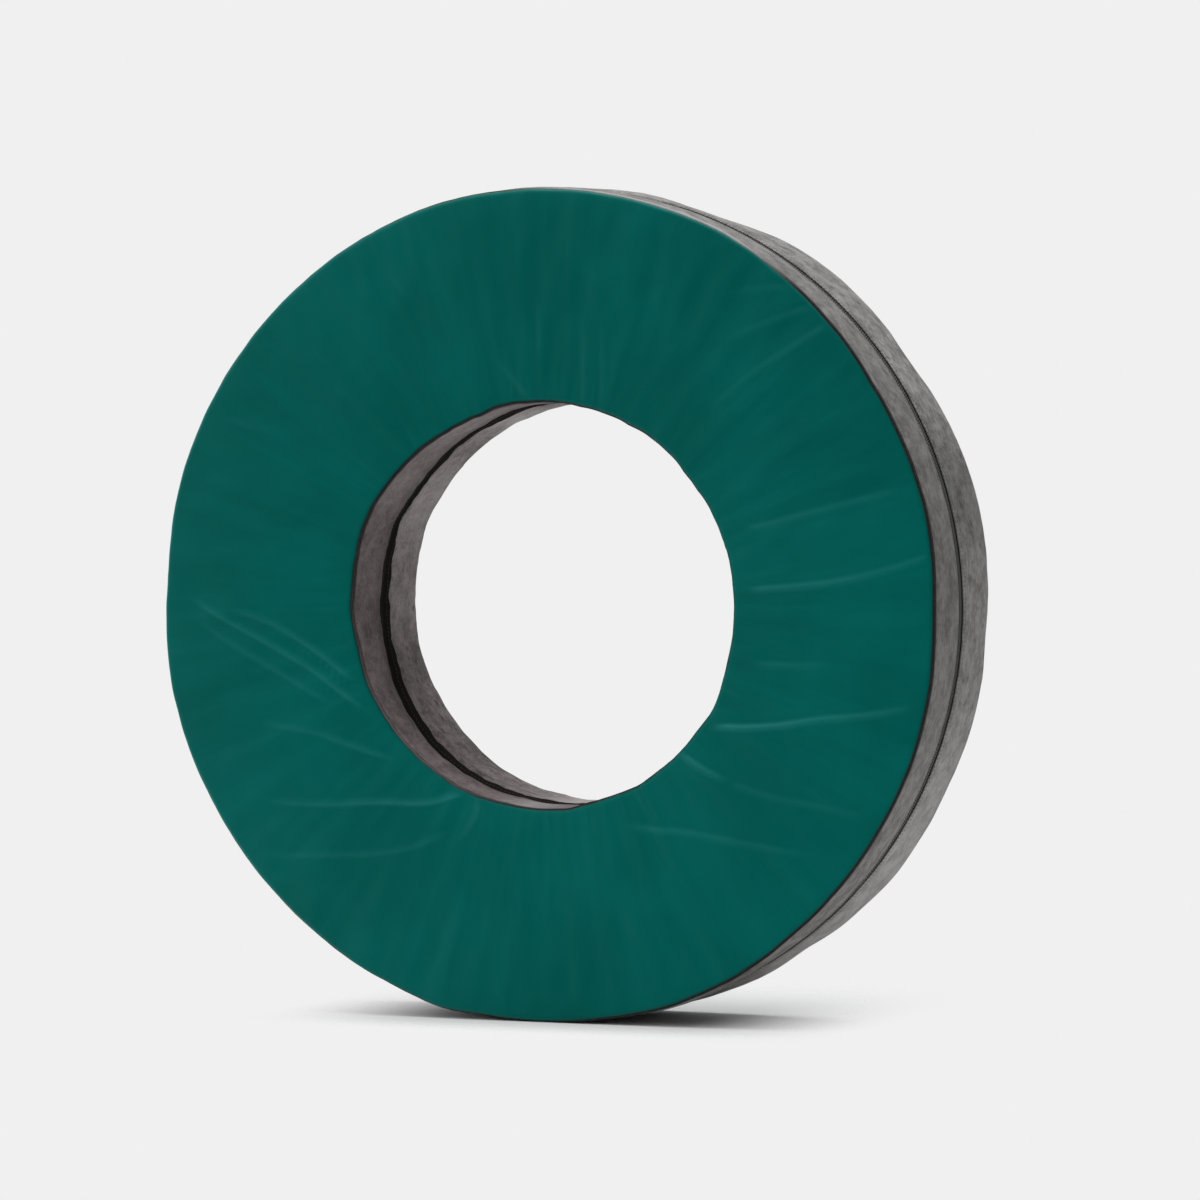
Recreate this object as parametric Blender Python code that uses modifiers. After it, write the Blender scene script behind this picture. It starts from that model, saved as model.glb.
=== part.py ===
"""Tackling wheel: a foam ring that stands on its rim, in a sewn cover with a zip round the rim.

All lengths are in metres. The wheel's centre is the origin, the wheel's axis is +Y, up is +Z, and
the front face looks towards -Y. Rings are drawn with their axis on their own Z and are then turned
upright, so a ring's own height is its distance in front of the wheel's middle plane.
"""

import math

import bmesh
import bpy
from mathutils import Matrix, Vector

# Driving sizes of the wheel
wheel_diameter = 1.2192
bore_diameter = 0.596
wheel_width = 0.234
face_crown = 0.004
band_crown = 0.0008
rim_corner_radius = 0.010
bore_corner_radius = 0.010

# The cover's fabric, its piping and its folds
fabric_thickness = 0.0012
welt_radius = 0.0023
pucker_height = 0.0020
fold_height = 0.0030
fold_width = 0.017
bore_groove_depth = 0.007
bore_groove_width = 0.036
binding_width = 0.024
binding_thickness = 0.0010
seam_gap = 0.0012

# The zip
zip_sink = 0.0071
tape_width = 0.018
tape_thickness = 0.0008
teeth_row_width = 0.0045
teeth_thickness = 0.0028
tooth_reach = 0.0030
zip_slot_width = 0.016
stop_length = 0.0030
top_stop_width = 0.0026
bottom_stop_length = 0.0050
stop_catch = 0.0005
stop_edge = 0.0004
patch_margin = 0.0030
patch_thickness = 0.0010

# The slider and its pull tab
slider_length = 0.018
slider_width = 0.0138
slider_wall = 0.0012
flange_width = 0.0014
diamond_length = 0.0056
diamond_width = 0.0026
crown_length = 0.0110
crown_width = 0.0030
crown_thickness = 0.0012
crown_play = 0.0009
tab_length = 0.034
tab_width = 0.0090
tab_thickness = 0.0015
tab_eye_wall = 0.0020
tab_hole_length = 0.0110
tab_hole_width = 0.0044
tab_hole_margin = 0.0030

# Clearances
touching_gap = 0.0003
running_gap = 0.0003
pin_gap = 0.0002
merge_distance = 0.0001
weld_distance = 0.00003
bite = 0.0003
floor_flat_depth = 0.0005
overrun = 0.02

# Counts and angles
facets = 60
teeth_per_facet = 4
front_face_rows = 5
rear_face_rows = 3
welt_sides = 5
chain_end_facets = 5
patch_facets = 3
step = math.tau / facets
first_angle = step / 2
left_side = math.pi
chain_low_end = left_side + chain_end_facets * step / 2
chain_high_end = left_side - chain_end_facets * step / 2
floor_angle = 1.5 * math.pi
floor_pressed_angle = math.radians(14)
front_pucker_phase = 0.4
rear_pucker_phase = 1.7
front_gather_phase = 0.9
rear_gather_phase = 2.6
gather_share = 0.6
near_end_share = 0.01
fold_fall_share = 0.6
fold_fade_share = 0.16
teeth_gap_share = 0.6

# Widths and places along the slider and its tab, as shares
tail_share = 0.94
shoulder_share = 0.4
cheek_share = 0.8
cheek_width_share = 0.9
nose_width_share = 0.5
crown_bend_share = 0.7
tab_neck_share = 0.7
tab_tip_share = 0.6

# Radii and heights that follow from the sizes above
rim_reach = wheel_diameter / 2
rim_crown_radius = rim_reach - pucker_height
rim_shell_radius = rim_crown_radius - band_crown
bore_shell_radius = bore_diameter / 2
half_width = wheel_width / 2
skin_depth = fabric_thickness + touching_gap
facet_dip = rim_reach * (1 - math.cos(step / 2))
zip_radius = rim_reach - zip_sink
zip_ring_radius = zip_radius + facet_dip / 2
chain_play = facet_dip / 2 + running_gap
channel_height = teeth_thickness / 2 + chain_play
tape_slot_height = tape_thickness / 2 + chain_play
slider_half_height = channel_height + slider_wall
stop_thickness = 2 * (channel_height + stop_catch)
tape_inner_edge = teeth_row_width + touching_gap
tape_outer_edge = tape_inner_edge + tape_width
groove_radius = zip_radius - slider_half_height - running_gap
band_on_tape_radius = zip_ring_radius + tape_thickness / 2 + touching_gap + fabric_thickness
foam_under_tape_radius = zip_ring_radius - tape_thickness / 2 - touching_gap
floor_height = -(rim_crown_radius * math.cos(step / 2) - floor_flat_depth)

flange_middle = (slider_width * tail_share - flange_width) / 2 - bite

# The slider rests at the closed end, its teeth ending at the tail of its diamond
diamond_place = slider_length / 2 - diamond_length / 2 - slider_wall
chain_in_slider = diamond_place - diamond_length / 2 - running_gap
slider_angle = chain_high_end - chain_in_slider / zip_radius
nose_angle = slider_angle + slider_length / 2 / zip_radius

# The pull tab's bar turns under the crown, so its corners need room below and above
pin_room = tab_thickness / math.sqrt(2) + pin_gap
pin_height = slider_half_height + pin_room
crown_inner_height = pin_height + pin_room


def clear_scene():
    for thing in list(bpy.data.objects):
        bpy.data.objects.remove(thing, do_unlink=True)


def new_collection(name):
    group = bpy.data.collections.new(name)
    bpy.context.scene.collection.children.link(group)
    return group


def new_material(name, colour, roughness, metallic=0.0):
    material = bpy.data.materials.new(name)
    material.use_nodes = True
    shader = material.node_tree.nodes["Principled BSDF"]
    shader.inputs["Base Color"].default_value = (*colour, 1.0)
    shader.inputs["Roughness"].default_value = roughness
    shader.inputs["Metallic"].default_value = metallic
    material.diffuse_color = (*colour, 1.0)
    return material


clear_scene()
part_group = new_collection("tackling_wheel")
cutter_group = new_collection("cutters")

green_vinyl = new_material("green_vinyl", (0.002, 0.093, 0.076), 0.42)
rear_vinyl = new_material("rear_vinyl", (0.002, 0.085, 0.070), 0.42)
grey_fabric = new_material("grey_fabric", (0.20, 0.19, 0.18), 0.9)
bore_fabric = new_material("bore_fabric", (0.15, 0.14, 0.135), 0.9)
black_piping = new_material("black_piping", (0.012, 0.014, 0.014), 0.5)
black_binding = new_material("black_binding", (0.015, 0.014, 0.014), 0.85)
black_tape = new_material("black_tape", (0.018, 0.018, 0.019), 0.85)
black_teeth = new_material("black_teeth", (0.010, 0.010, 0.011), 0.4)
slider_metal = new_material("slider_metal", (0.06, 0.06, 0.062), 0.35, 0.9)
cream_foam = new_material("cream_foam", (0.62, 0.55, 0.38), 0.95)
patch_fabric = new_material("patch_fabric", (0.17, 0.16, 0.152), 0.9)


def add_object(name, mesh, material, group=part_group):
    thing = bpy.data.objects.new(name, mesh)
    group.objects.link(thing)
    if material is not None:
        mesh.materials.clear()
        mesh.materials.append(material)
    return thing


def upright():
    """Turns a ring's own Z to the wheel's front, and its own Y up."""
    return Matrix.Rotation(math.pi / 2, 4, "X")


def evaluated_mesh(thing):
    """The object's mesh with its modifiers applied."""
    graph = bpy.context.evaluated_depsgraph_get()
    return bpy.data.meshes.new_from_object(thing.evaluated_get(graph))


# Turned rings

def turned(name, line, closed, material, low_angle=first_angle, count=facets):
    """A ring, or an arc of it, turned about its own Z from a line of (radius, height) points."""
    mesh = bpy.data.meshes.new(name)
    points = [(r * math.cos(low_angle), r * math.sin(low_angle), h) for r, h in line]
    edges = [(i, i + 1) for i in range(len(line) - 1)]
    if closed:
        edges.append((len(line) - 1, 0))
    mesh.from_pydata(points, edges, [])
    ring = add_object(name, mesh, material)
    ring.matrix_world = upright()
    screw = ring.modifiers.new("turn", "SCREW")
    screw.axis = "Z"
    screw.angle = step * count
    screw.steps = count
    screw.render_steps = count
    screw.use_merge_vertices = True
    screw.merge_threshold = merge_distance
    screw.use_smooth_shade = True
    return ring


def formed_skin(name, line, form, thickness, material, low_angle=first_angle, count=facets):
    """A turned skin whose points are then lifted by form(radius, angle, height).

    The line is the outer surface, and the skin grows inwards from it. form gives the point's new
    radius and height.
    """
    ring = turned(name, line, False, material, low_angle, count)
    mesh = evaluated_mesh(ring)
    ring.modifiers.clear()
    for vertex in mesh.vertices:
        x, y, height = vertex.co
        angle = math.atan2(y, x)
        radius, height = form(math.hypot(x, y), angle, height)
        vertex.co = (radius * math.cos(angle), radius * math.sin(angle), height)
    ring.data = mesh
    mesh.materials.clear()
    mesh.materials.append(material)
    wall = ring.modifiers.new("wall", "SOLIDIFY")
    wall.thickness = thickness
    wall.offset = -1
    wall.use_even_offset = True
    return ring


def mirrored(line, side):
    """The line for the front, or its mirror image for the rear, still running the same way round."""
    if side > 0:
        return list(line)
    return [(r, -h) for r, h in reversed(line)]


def corner_point(centre_radius, centre_height, corner_radius, angle, outward):
    """A point on a rounded edge: angle 0 faces the front, a right angle faces the rim or bore."""
    radius = centre_radius + outward * corner_radius * math.sin(angle)
    return radius, centre_height + corner_radius * math.cos(angle)


def welt_angle(corner_radius):
    """How far round the corner each fabric edge stops from the welt's place at 45 degrees."""
    return math.asin((welt_radius + touching_gap) / corner_radius)


rim_corner = (rim_shell_radius - rim_corner_radius, half_width - rim_corner_radius)
bore_corner = (bore_shell_radius + bore_corner_radius, half_width - bore_corner_radius)
middle_of_corner = math.pi / 4


# Foam

def crown_height(share):
    """Height of the crowned face over its edges, share running from the bore to the rim."""
    return face_crown * math.sin(math.pi * share)


def face_point(share):
    """A point on the face between its two rounded edges."""
    radius = bore_corner[0] + share * (rim_corner[0] - bore_corner[0])
    return radius, half_width + crown_height(share)


def foam_slab(name, side):
    """Half of the foam ring, with relief for the slider at the rim and for the seam in the bore."""
    rim_depth = rim_corner_radius - skin_depth
    bore_depth = bore_corner_radius - skin_depth
    middle_radius, middle_height = face_point(0.5)
    line = [
        (groove_radius, touching_gap / 2),
        (groove_radius, slider_width / 2 + running_gap),
        (foam_under_tape_radius, tape_outer_edge),
        (rim_crown_radius - skin_depth, half_width * band_crown_share),
        (rim_shell_radius - skin_depth, rim_corner[1]),
        corner_point(*rim_corner, rim_depth, middle_of_corner, 1),
        corner_point(*rim_corner, rim_depth, 0.0, 1),
        (middle_radius, middle_height - skin_depth - touching_gap),
        corner_point(*bore_corner, bore_depth, 0.0, -1),
        corner_point(*bore_corner, bore_depth, middle_of_corner, -1),
        (bore_shell_radius + skin_depth, bore_corner[1]),
        (bore_shell_radius + skin_depth, bore_groove_width / 2),
        (bore_shell_radius + bore_groove_depth + skin_depth + touching_gap, touching_gap / 2),
    ]
    line.reverse()
    return turned(name, mirrored(line, side), True, cream_foam)


# Face panels, with the creases that the pulled seams give them

# Each crease: angle and radius share where it starts at the bore, where it ends, and its height share
front_fold_shares = (
    (-34, 0.02, -16, 0.95, 1.0),
    (-47, 0.05, -41, 0.45, 0.5),
    (-64, 0.06, -42, 0.98, 0.6),
    (21, 0.06, 12, 0.98, 0.6),
    (6, 0.04, 4, 0.98, 0.7),
    (48, 0.33, 42, 0.98, 0.5),
    (75, 0.03, 80, 0.80, 0.5),
    (93, 0.04, 112, 0.65, 0.8),
    (97, 0.05, 106, 0.30, 0.5),
    (140, 0.05, 132, 0.70, 0.4),
    (215, 0.01, 179, 0.95, 0.9),
    (249, 0.01, 222, 0.75, 0.8),
    (254, 0.04, 243, 0.38, 0.6),
    (283, 0.05, 290, 0.60, 0.4),
)
rear_fold_shares = (
    (10, 0.03, 24, 0.85, 0.8),
    (58, 0.03, 44, 0.75, 0.6),
    (118, 0.04, 130, 0.90, 0.9),
    (170, 0.03, 158, 0.80, 0.6),
    (212, 0.03, 226, 0.90, 0.8),
    (262, 0.04, 250, 0.70, 0.6),
    (318, 0.03, 330, 0.90, 0.8),
)


def polar_point(degrees, share):
    """A place on the face, its share running from the bore's welt to the rim's."""
    radius = bore_corner[0] + share * (rim_corner[0] - bore_corner[0])
    return Vector((radius * math.cos(math.radians(degrees)), radius * math.sin(math.radians(degrees))))


def fold_lift(place, folds):
    """Height of the creases at a place on the face: a soft ridge along each crease's line."""
    lift = 0.0
    for start_degrees, start_share, end_degrees, end_share, height_share in folds:
        start = polar_point(start_degrees, start_share)
        end = polar_point(end_degrees, end_share)
        run = end - start
        along = max(0.0, min(1.0, (place - start).dot(run) / run.length_squared))
        distance = (place - start - run * along).length
        ridge = height_share * math.exp(-((distance / fold_width) ** 2))
        lift = max(lift, ridge * (1.0 - fold_fall_share * along))
    return fold_height * lift


def face_form(side, folds):
    def form(radius, angle, height):
        share = (radius - bore_corner[0]) / (rim_corner[0] - bore_corner[0])
        if share <= near_end_share or share >= 1 - near_end_share:
            return radius, height
        place = Vector((radius * math.cos(angle), radius * math.sin(angle)))
        edge_fade = min(1.0, share / fold_fade_share, (1 - share) / fold_fade_share)
        return radius, height + side * edge_fade * fold_lift(place, folds)
    return form


def face_panel(name, side, material, folds, share_count):
    """A ring of vinyl from welt to welt, over both rounded edges."""
    rim_stop = middle_of_corner - welt_angle(rim_corner_radius)
    bore_stop = middle_of_corner - welt_angle(bore_corner_radius)
    line = [corner_point(*bore_corner, bore_corner_radius, bore_stop, -1)]
    for index in range(share_count + 1):
        line.append(face_point(index / share_count))
    line.append(corner_point(*rim_corner, rim_corner_radius, rim_stop, 1))
    return formed_skin(name, mirrored(line, side), face_form(side, folds), fabric_thickness, material)


# Rim and bore bands

# Places of the band's points from the middle plane, as shares of half the width
band_rise_share = 0.24
band_crown_share = 0.54

# How much of the rise and of the lumps shows at the band's outer points
band_lift_share = 0.4
band_edge_lump_share = 0.35


# The two waves that make up the lumps: how many go round, their height share and their phase's
wave_shares = ((11, 1.0, 1.0), (17, 0.7, 2.1))


def pucker(angle, phase):
    """Soft lumps round a band, from 0 to 1, with none where the wheel presses on the floor."""
    total = sum(height for _, height, _ in wave_shares)
    wave = sum(height * math.sin(count * angle + turn * phase) for count, height, turn in wave_shares)
    off_floor = abs((angle - floor_angle + math.pi) % math.tau - math.pi)
    press_fade = min(1.0, max(0.0, off_floor / floor_pressed_angle - 1.0))
    return (total + wave) / (2 * total) * press_fade


band_crown_place = half_width * band_crown_share
band_rise_place = half_width * band_rise_share
band_rise_radius = band_on_tape_radius + (rim_crown_radius - band_on_tape_radius) * band_lift_share


def band_radius(angle, across, side):
    """Outer radius of a rim band at a distance from the middle plane, with its lumps."""
    phase = front_pucker_phase if side > 0 else rear_pucker_phase
    lump = pucker_height * pucker(angle, phase)
    line = (
        (zip_slot_width / 2, band_on_tape_radius),
        (band_rise_place, band_rise_radius + lump * band_edge_lump_share),
        (band_crown_place, rim_crown_radius + lump),
        (rim_corner[1], rim_shell_radius + lump * band_edge_lump_share),
    )
    for (low_place, low_radius), (high_place, high_radius) in zip(line, line[1:]):
        if across <= high_place:
            share = (across - low_place) / (high_place - low_place)
            return low_radius + (high_radius - low_radius) * max(0.0, share)
    return line[-1][1]


def rim_band(name, side):
    """Grey fabric from the zip to the welt, swelling over the foam."""
    stop = middle_of_corner + welt_angle(rim_corner_radius)
    line = [
        corner_point(*rim_corner, rim_corner_radius, stop, 1),
        (rim_shell_radius, rim_corner[1]),
        (rim_crown_radius, band_crown_place),
        (band_rise_radius, band_rise_place),
        (band_on_tape_radius, zip_slot_width / 2),
    ]

    def form(radius, angle, height):
        if abs(height) > rim_corner[1] + touching_gap:
            return radius, height
        return band_radius(angle, abs(height), side), height

    band = formed_skin(name, mirrored(line, side), form, fabric_thickness, grey_fabric)
    cut_floor_flat(band)
    return band


def gather(angle, side):
    """How far the edge of the bore's groove is puckered towards the axis."""
    phase = front_gather_phase if side > 0 else rear_gather_phase
    return pucker_height * gather_share * pucker(angle, phase)


def bore_band(name, side):
    """Grey fabric lining half of the bore, drawn into the seam at the middle."""
    stop = middle_of_corner + welt_angle(bore_corner_radius)
    line = [
        (bore_shell_radius + bore_groove_depth, seam_gap / 2),
        (bore_shell_radius, bore_groove_width / 2),
        (bore_shell_radius, bore_corner[1]),
        corner_point(*bore_corner, bore_corner_radius, stop, -1),
    ]

    def form(radius, angle, height):
        if abs(abs(height) - bore_groove_width / 2) > touching_gap:
            return radius, height
        return radius - gather(angle, side), height

    return formed_skin(name, mirrored(line, side), form, fabric_thickness, bore_fabric)


def cut_floor_flat(thing):
    """Cuts the flat that the wheel stands on."""
    bpy.ops.mesh.primitive_cube_add(size=1)
    cutter = bpy.context.object
    cutter.name = thing.name + "_floor_cut"
    cutter.scale = (wheel_diameter, wheel_width + overrun, overrun)
    cutter.location = (0, 0, floor_height - overrun / 2)
    for group in list(cutter.users_collection):
        group.objects.unlink(cutter)
    cutter_group.objects.link(cutter)
    cutter.hide_render = True
    cutter.display_type = "WIRE"
    cut = thing.modifiers.new("floor_flat", "BOOLEAN")
    cut.operation = "DIFFERENCE"
    cut.solver = "EXACT"
    cut.object = cutter


# Welts and the bore's binding

def welt(name, side, corner, corner_radius, outward):
    """Round piping in the notch between a face panel and a band."""
    reach = corner_radius - fabric_thickness + welt_radius
    radius, height = corner_point(*corner, reach, middle_of_corner, outward)
    bpy.ops.mesh.primitive_torus_add(
        major_segments=facets,
        minor_segments=welt_sides,
        major_radius=radius,
        minor_radius=welt_radius,
    )
    ring = bpy.context.object
    ring.name = name
    for group in list(ring.users_collection):
        group.objects.unlink(ring)
    part_group.objects.link(ring)
    place = Matrix.Translation((0, 0, side * height))
    ring.matrix_world = upright() @ place @ Matrix.Rotation(first_angle, 4, "Z")
    ring.data.materials.append(black_piping)
    ring.data.shade_smooth()
    return ring


def bore_binding(name):
    """A black tape bound over the seam at the middle of the bore, lying in its groove."""
    groove_half = bore_groove_width / 2
    edge = binding_width / 2
    lift = touching_gap + binding_thickness
    slant = math.hypot(bore_groove_depth, groove_half) / groove_half
    bottom = bore_shell_radius + bore_groove_depth - lift * slant
    brim = bottom - bore_groove_depth * edge / groove_half
    line = [(brim, -edge), (bottom, 0.0), (brim, edge)]

    def form(radius, angle, height):
        if abs(height) < touching_gap:
            return radius, height
        return radius - gather(angle, height) * edge / groove_half, height

    return formed_skin(name, line, form, binding_thickness, black_binding)


# The zip's tapes and teeth: each is one straight piece of a facet, repeated round the rim

def ring_of_cells(name, outline, outer_radius, inner_radius, low_angle, count, material):
    """A closed strip round the rim from a flat outline one facet long.

    outline holds (share along the facet, height) points. The facet's two ends run at height only,
    so that neighbouring cells meet there.
    """
    work = bmesh.new()
    start = Vector((math.cos(low_angle), math.sin(low_angle)))
    end = Vector((math.cos(low_angle + step), math.sin(low_angle + step)))
    points = []
    for share, height in outline:
        place = start.lerp(end, share) * outer_radius
        points.append(work.verts.new((place.x, place.y, height)))
    outer_face = work.faces.new(points)
    raised = bmesh.ops.extrude_face_region(work, geom=[outer_face], use_keep_orig=True)
    inner_points = [item for item in raised["geom"] if isinstance(item, bmesh.types.BMVert)]
    shrink = inner_radius / outer_radius
    bmesh.ops.scale(work, verts=inner_points, vec=(shrink, shrink, 1))
    seams = []
    for face in work.faces:
        shares = [edge_share(corner.co, low_angle) for corner in face.verts]
        if max(shares) < near_end_share or min(shares) > 1 - near_end_share:
            seams.append(face)
    bmesh.ops.delete(work, geom=seams, context="FACES_ONLY")
    bmesh.ops.spin(
        work,
        geom=work.verts[:] + work.edges[:] + work.faces[:],
        cent=(0, 0, 0),
        axis=(0, 0, 1),
        steps=count - 1,
        angle=step * (count - 1),
        use_duplicate=True,
    )
    bmesh.ops.remove_doubles(work, verts=work.verts[:], dist=weld_distance)
    open_edges = [edge for edge in work.edges if edge.is_boundary]
    bmesh.ops.holes_fill(work, edges=open_edges)
    bmesh.ops.recalc_face_normals(work, faces=work.faces[:])
    mesh = bpy.data.meshes.new(name)
    work.to_mesh(mesh)
    work.free()
    strip = add_object(name, mesh, material)
    strip.matrix_world = upright()
    return strip


def edge_share(place, low_angle):
    """Where a point lies along its facet, from 0 to 1."""
    turn = (math.atan2(place.y, place.x) - low_angle + math.pi) % math.tau - math.pi
    return turn / step


def zip_tape(name, side):
    """Woven tape under the edge of a rim band, its two ends under the patch."""
    outline = [
        (0.0, side * tape_inner_edge),
        (1.0, side * tape_inner_edge),
        (1.0, side * tape_outer_edge),
        (0.0, side * tape_outer_edge),
    ]
    outer = zip_ring_radius + tape_thickness / 2
    inner = zip_ring_radius - tape_thickness / 2
    low_angle = left_side + step / 2
    return ring_of_cells(name, outline, outer, inner, low_angle, facets - 1, black_tape)


def teeth_row(name, side):
    """One row of teeth, meshing with the other along the zip's middle line."""
    edge_gap = touching_gap * teeth_gap_share
    outline = []
    for index in range(2 * teeth_per_facet + 1):
        wave = tooth_reach / 2 if index % 2 else -tooth_reach / 2
        outline.append((index / (2 * teeth_per_facet), wave + side * edge_gap))
    outline.append((1.0, side * teeth_row_width))
    outline.append((0.0, side * teeth_row_width))
    outer = zip_ring_radius + teeth_thickness / 2
    inner = zip_ring_radius - teeth_thickness / 2
    count = facets - chain_end_facets
    return ring_of_cells(name, outline, outer, inner, chain_low_end, count, black_teeth)


# Small pieces on the rim, each drawn in a frame of its own: x runs along the zip towards its closed
# end, y towards the wheel's front and z outwards

def rim_frame(angle, height=0.0):
    """The frame of a piece that stands on the zip's middle circle at an angle."""
    along = Vector((-math.sin(angle), 0, math.cos(angle)))
    front = Vector((0, -1, 0))
    out = Vector((math.cos(angle), 0, math.sin(angle)))
    frame = Matrix((along, front, out)).transposed().to_4x4()
    frame.translation = out * (zip_radius + height)
    return frame


def plate(name, loops, thickness):
    """A flat plate from closed outlines in x and y, centred on z. Inner outlines are holes."""
    curve = bpy.data.curves.new(name, "CURVE")
    curve.dimensions = "2D"
    curve.fill_mode = "BOTH"
    curve.extrude = thickness / 2
    for loop in loops:
        spline = curve.splines.new("POLY")
        spline.points.add(len(loop) - 1)
        for point, (x, y) in zip(spline.points, loop):
            point.co = (x, y, 0, 1)
        spline.use_cyclic_u = True
    sketch = bpy.data.objects.new(name, curve)
    part_group.objects.link(sketch)
    mesh = evaluated_mesh(sketch)
    bpy.data.objects.remove(sketch)
    work = bmesh.new()
    work.from_mesh(mesh)
    bmesh.ops.remove_doubles(work, verts=work.verts[:], dist=weld_distance)
    bmesh.ops.recalc_face_normals(work, faces=work.faces[:])
    work.to_mesh(mesh)
    work.free()
    return mesh


def box(length, width, height):
    """A box centred on its own origin."""
    mesh = bpy.data.meshes.new("box")
    work = bmesh.new()
    bmesh.ops.create_cube(work, size=1)
    bmesh.ops.scale(work, verts=work.verts[:], vec=(length, width, height))
    work.to_mesh(mesh)
    work.free()
    return mesh


def both_sides(outline):
    """The outline's points and their mirror images in y, as one closed loop."""
    return list(outline) + [(x, -y) for x, y in reversed(outline)]


def wing_mesh(direction):
    """One of the slider's two plates, with its shoulders nearer the nose."""
    half = slider_width / 2
    half_length = slider_length / 2
    outline = both_sides([
        (-half_length, half * tail_share),
        (half_length * shoulder_share, half),
        (half_length * cheek_share, half * cheek_width_share),
        (half_length, half * nose_width_share),
    ])
    mesh = plate("wing", [outline], slider_wall)
    mesh.transform(Matrix.Translation((0, 0, direction * (channel_height + slider_wall / 2))))
    return mesh


def flange_mesh(direction, side):
    """The lip along one edge of a plate, which holds the row of teeth in."""
    length = slider_length / 2 * (1 + shoulder_share) - bite
    depth = channel_height - tape_slot_height + bite
    middle = direction * (tape_slot_height + depth / 2)
    mesh = box(length, flange_width, depth)
    place = (bite - slider_length / 2 + length / 2, side * flange_middle, middle)
    mesh.transform(Matrix.Translation(place))
    return mesh


def diamond_mesh():
    """The post between the plates that parts the two rows."""
    mesh = bpy.data.meshes.new("diamond")
    work = bmesh.new()
    bmesh.ops.create_cone(
        work,
        cap_ends=True,
        segments=4,
        radius1=1.0,
        radius2=1.0,
        depth=1.0,
    )
    size = (diamond_length / 2, diamond_width / 2, 2 * (channel_height + bite))
    bmesh.ops.scale(work, verts=work.verts[:], vec=size)
    bmesh.ops.translate(work, verts=work.verts[:], vec=(diamond_place, 0, 0))
    work.to_mesh(mesh)
    work.free()
    return mesh


def crown_mesh():
    """The bridge on the outer plate that the pull tab hangs from."""
    foot = slider_half_height - bite
    top = crown_inner_height + crown_thickness
    outer = crown_length / 2
    inner = outer - crown_thickness
    bend = crown_thickness * crown_bend_share
    arch = [
        (-outer, foot),
        (-outer, top - bend),
        (-outer + bend, top),
        (outer - bend, top),
        (outer, top - bend),
        (outer, foot),
        (inner, foot),
        (inner, crown_inner_height - bend / 2),
        (inner - bend / 2, crown_inner_height),
        (-inner + bend / 2, crown_inner_height),
        (-inner, crown_inner_height - bend / 2),
        (-inner, foot),
    ]
    mesh = plate("crown", [arch], crown_width)
    mesh.transform(Matrix.Rotation(math.pi / 2, 4, "X"))
    return mesh


def axis_empty(name, matrix):
    """A marker on a joint's axis that carries the piece which turns on it."""
    empty = bpy.data.objects.new(name, None)
    part_group.objects.link(empty)
    empty.matrix_world = matrix
    return empty


def carried(thing, empty, matrix):
    thing.parent = empty
    thing.matrix_parent_inverse = Matrix.Identity(4)
    thing.matrix_basis = empty.matrix_world.inverted() @ matrix


def union_with(thing, mesh, name, empty, matrix):
    """Joins another shape to a piece with a Boolean."""
    other = add_object(name, mesh, None, cutter_group)
    carried(other, empty, matrix)
    other.hide_render = True
    other.display_type = "WIRE"
    joint = thing.modifiers.new(name, "BOOLEAN")
    joint.operation = "UNION"
    joint.solver = "EXACT"
    joint.object = other


def zip_slider(name):
    """Two plates round a diamond post, lips that hold the teeth, and a crown for the pull tab."""
    frame = rim_frame(slider_angle)
    empty = axis_empty("zip_slider_axis", Matrix.Identity(4))
    slider = add_object(name, wing_mesh(1), slider_metal)
    carried(slider, empty, frame)
    union_with(slider, diamond_mesh(), "slider_diamond", empty, frame)
    union_with(slider, wing_mesh(-1), "slider_inner_plate", empty, frame)
    for direction in (1, -1):
        for side in (1, -1):
            union_with(slider, flange_mesh(direction, side), "slider_lip", empty, frame)
    union_with(slider, crown_mesh(), "slider_crown", empty, frame)
    return slider


def zip_pull_tab(name):
    """A flat tab whose eye goes round the slider's crown, with its bar under it."""
    half = tab_width / 2
    start = -tab_thickness / 2
    eye_end = crown_length / 2 + crown_play
    eye_half = crown_width / 2 + crown_play
    neck = eye_end + tab_eye_wall
    grip = neck + tab_eye_wall
    tip = tab_length
    outline = both_sides([
        (start, half),
        (eye_end, half),
        (neck, half * tab_neck_share),
        (grip, half * tab_neck_share),
        (grip + tab_eye_wall, half),
        (tip - tab_eye_wall, half),
        (tip, half * tab_tip_share),
    ])
    eye = [(-start, -eye_half), (-start, eye_half), (eye_end, eye_half), (eye_end, -eye_half)]
    hole_end = tip - tab_hole_margin
    hole_start = hole_end - tab_hole_length
    hole_half = tab_hole_width / 2
    hole = [
        (hole_start, -hole_half),
        (hole_start, hole_half),
        (hole_end, hole_half),
        (hole_end, -hole_half),
    ]
    frame = rim_frame(slider_angle, pin_height)
    empty = axis_empty("zip_pull_tab_axis", frame)
    tab = add_object(name, plate(name, [outline, eye, hole], tab_thickness), slider_metal)
    carried(tab, empty, frame)
    return tab


def small_block(name, mesh, angle, place, material):
    """A moulded stop with softened edges."""
    block = add_object(name, mesh, material)
    block.matrix_world = rim_frame(angle) @ Matrix.Translation(place)
    soft = block.modifiers.new("soft_edges", "BEVEL")
    soft.width = stop_edge
    soft.segments = 1
    return block


def top_stop(name, side):
    """The block on the tape's edge that the slider meets when the zip is closed."""
    angle = nose_angle + (running_gap + stop_length / 2) / zip_radius
    across = side * (teeth_row_width - top_stop_width / 2)
    mesh = box(stop_length, top_stop_width, stop_thickness)
    return small_block(name, mesh, angle, (0, across, 0), black_teeth)


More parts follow.
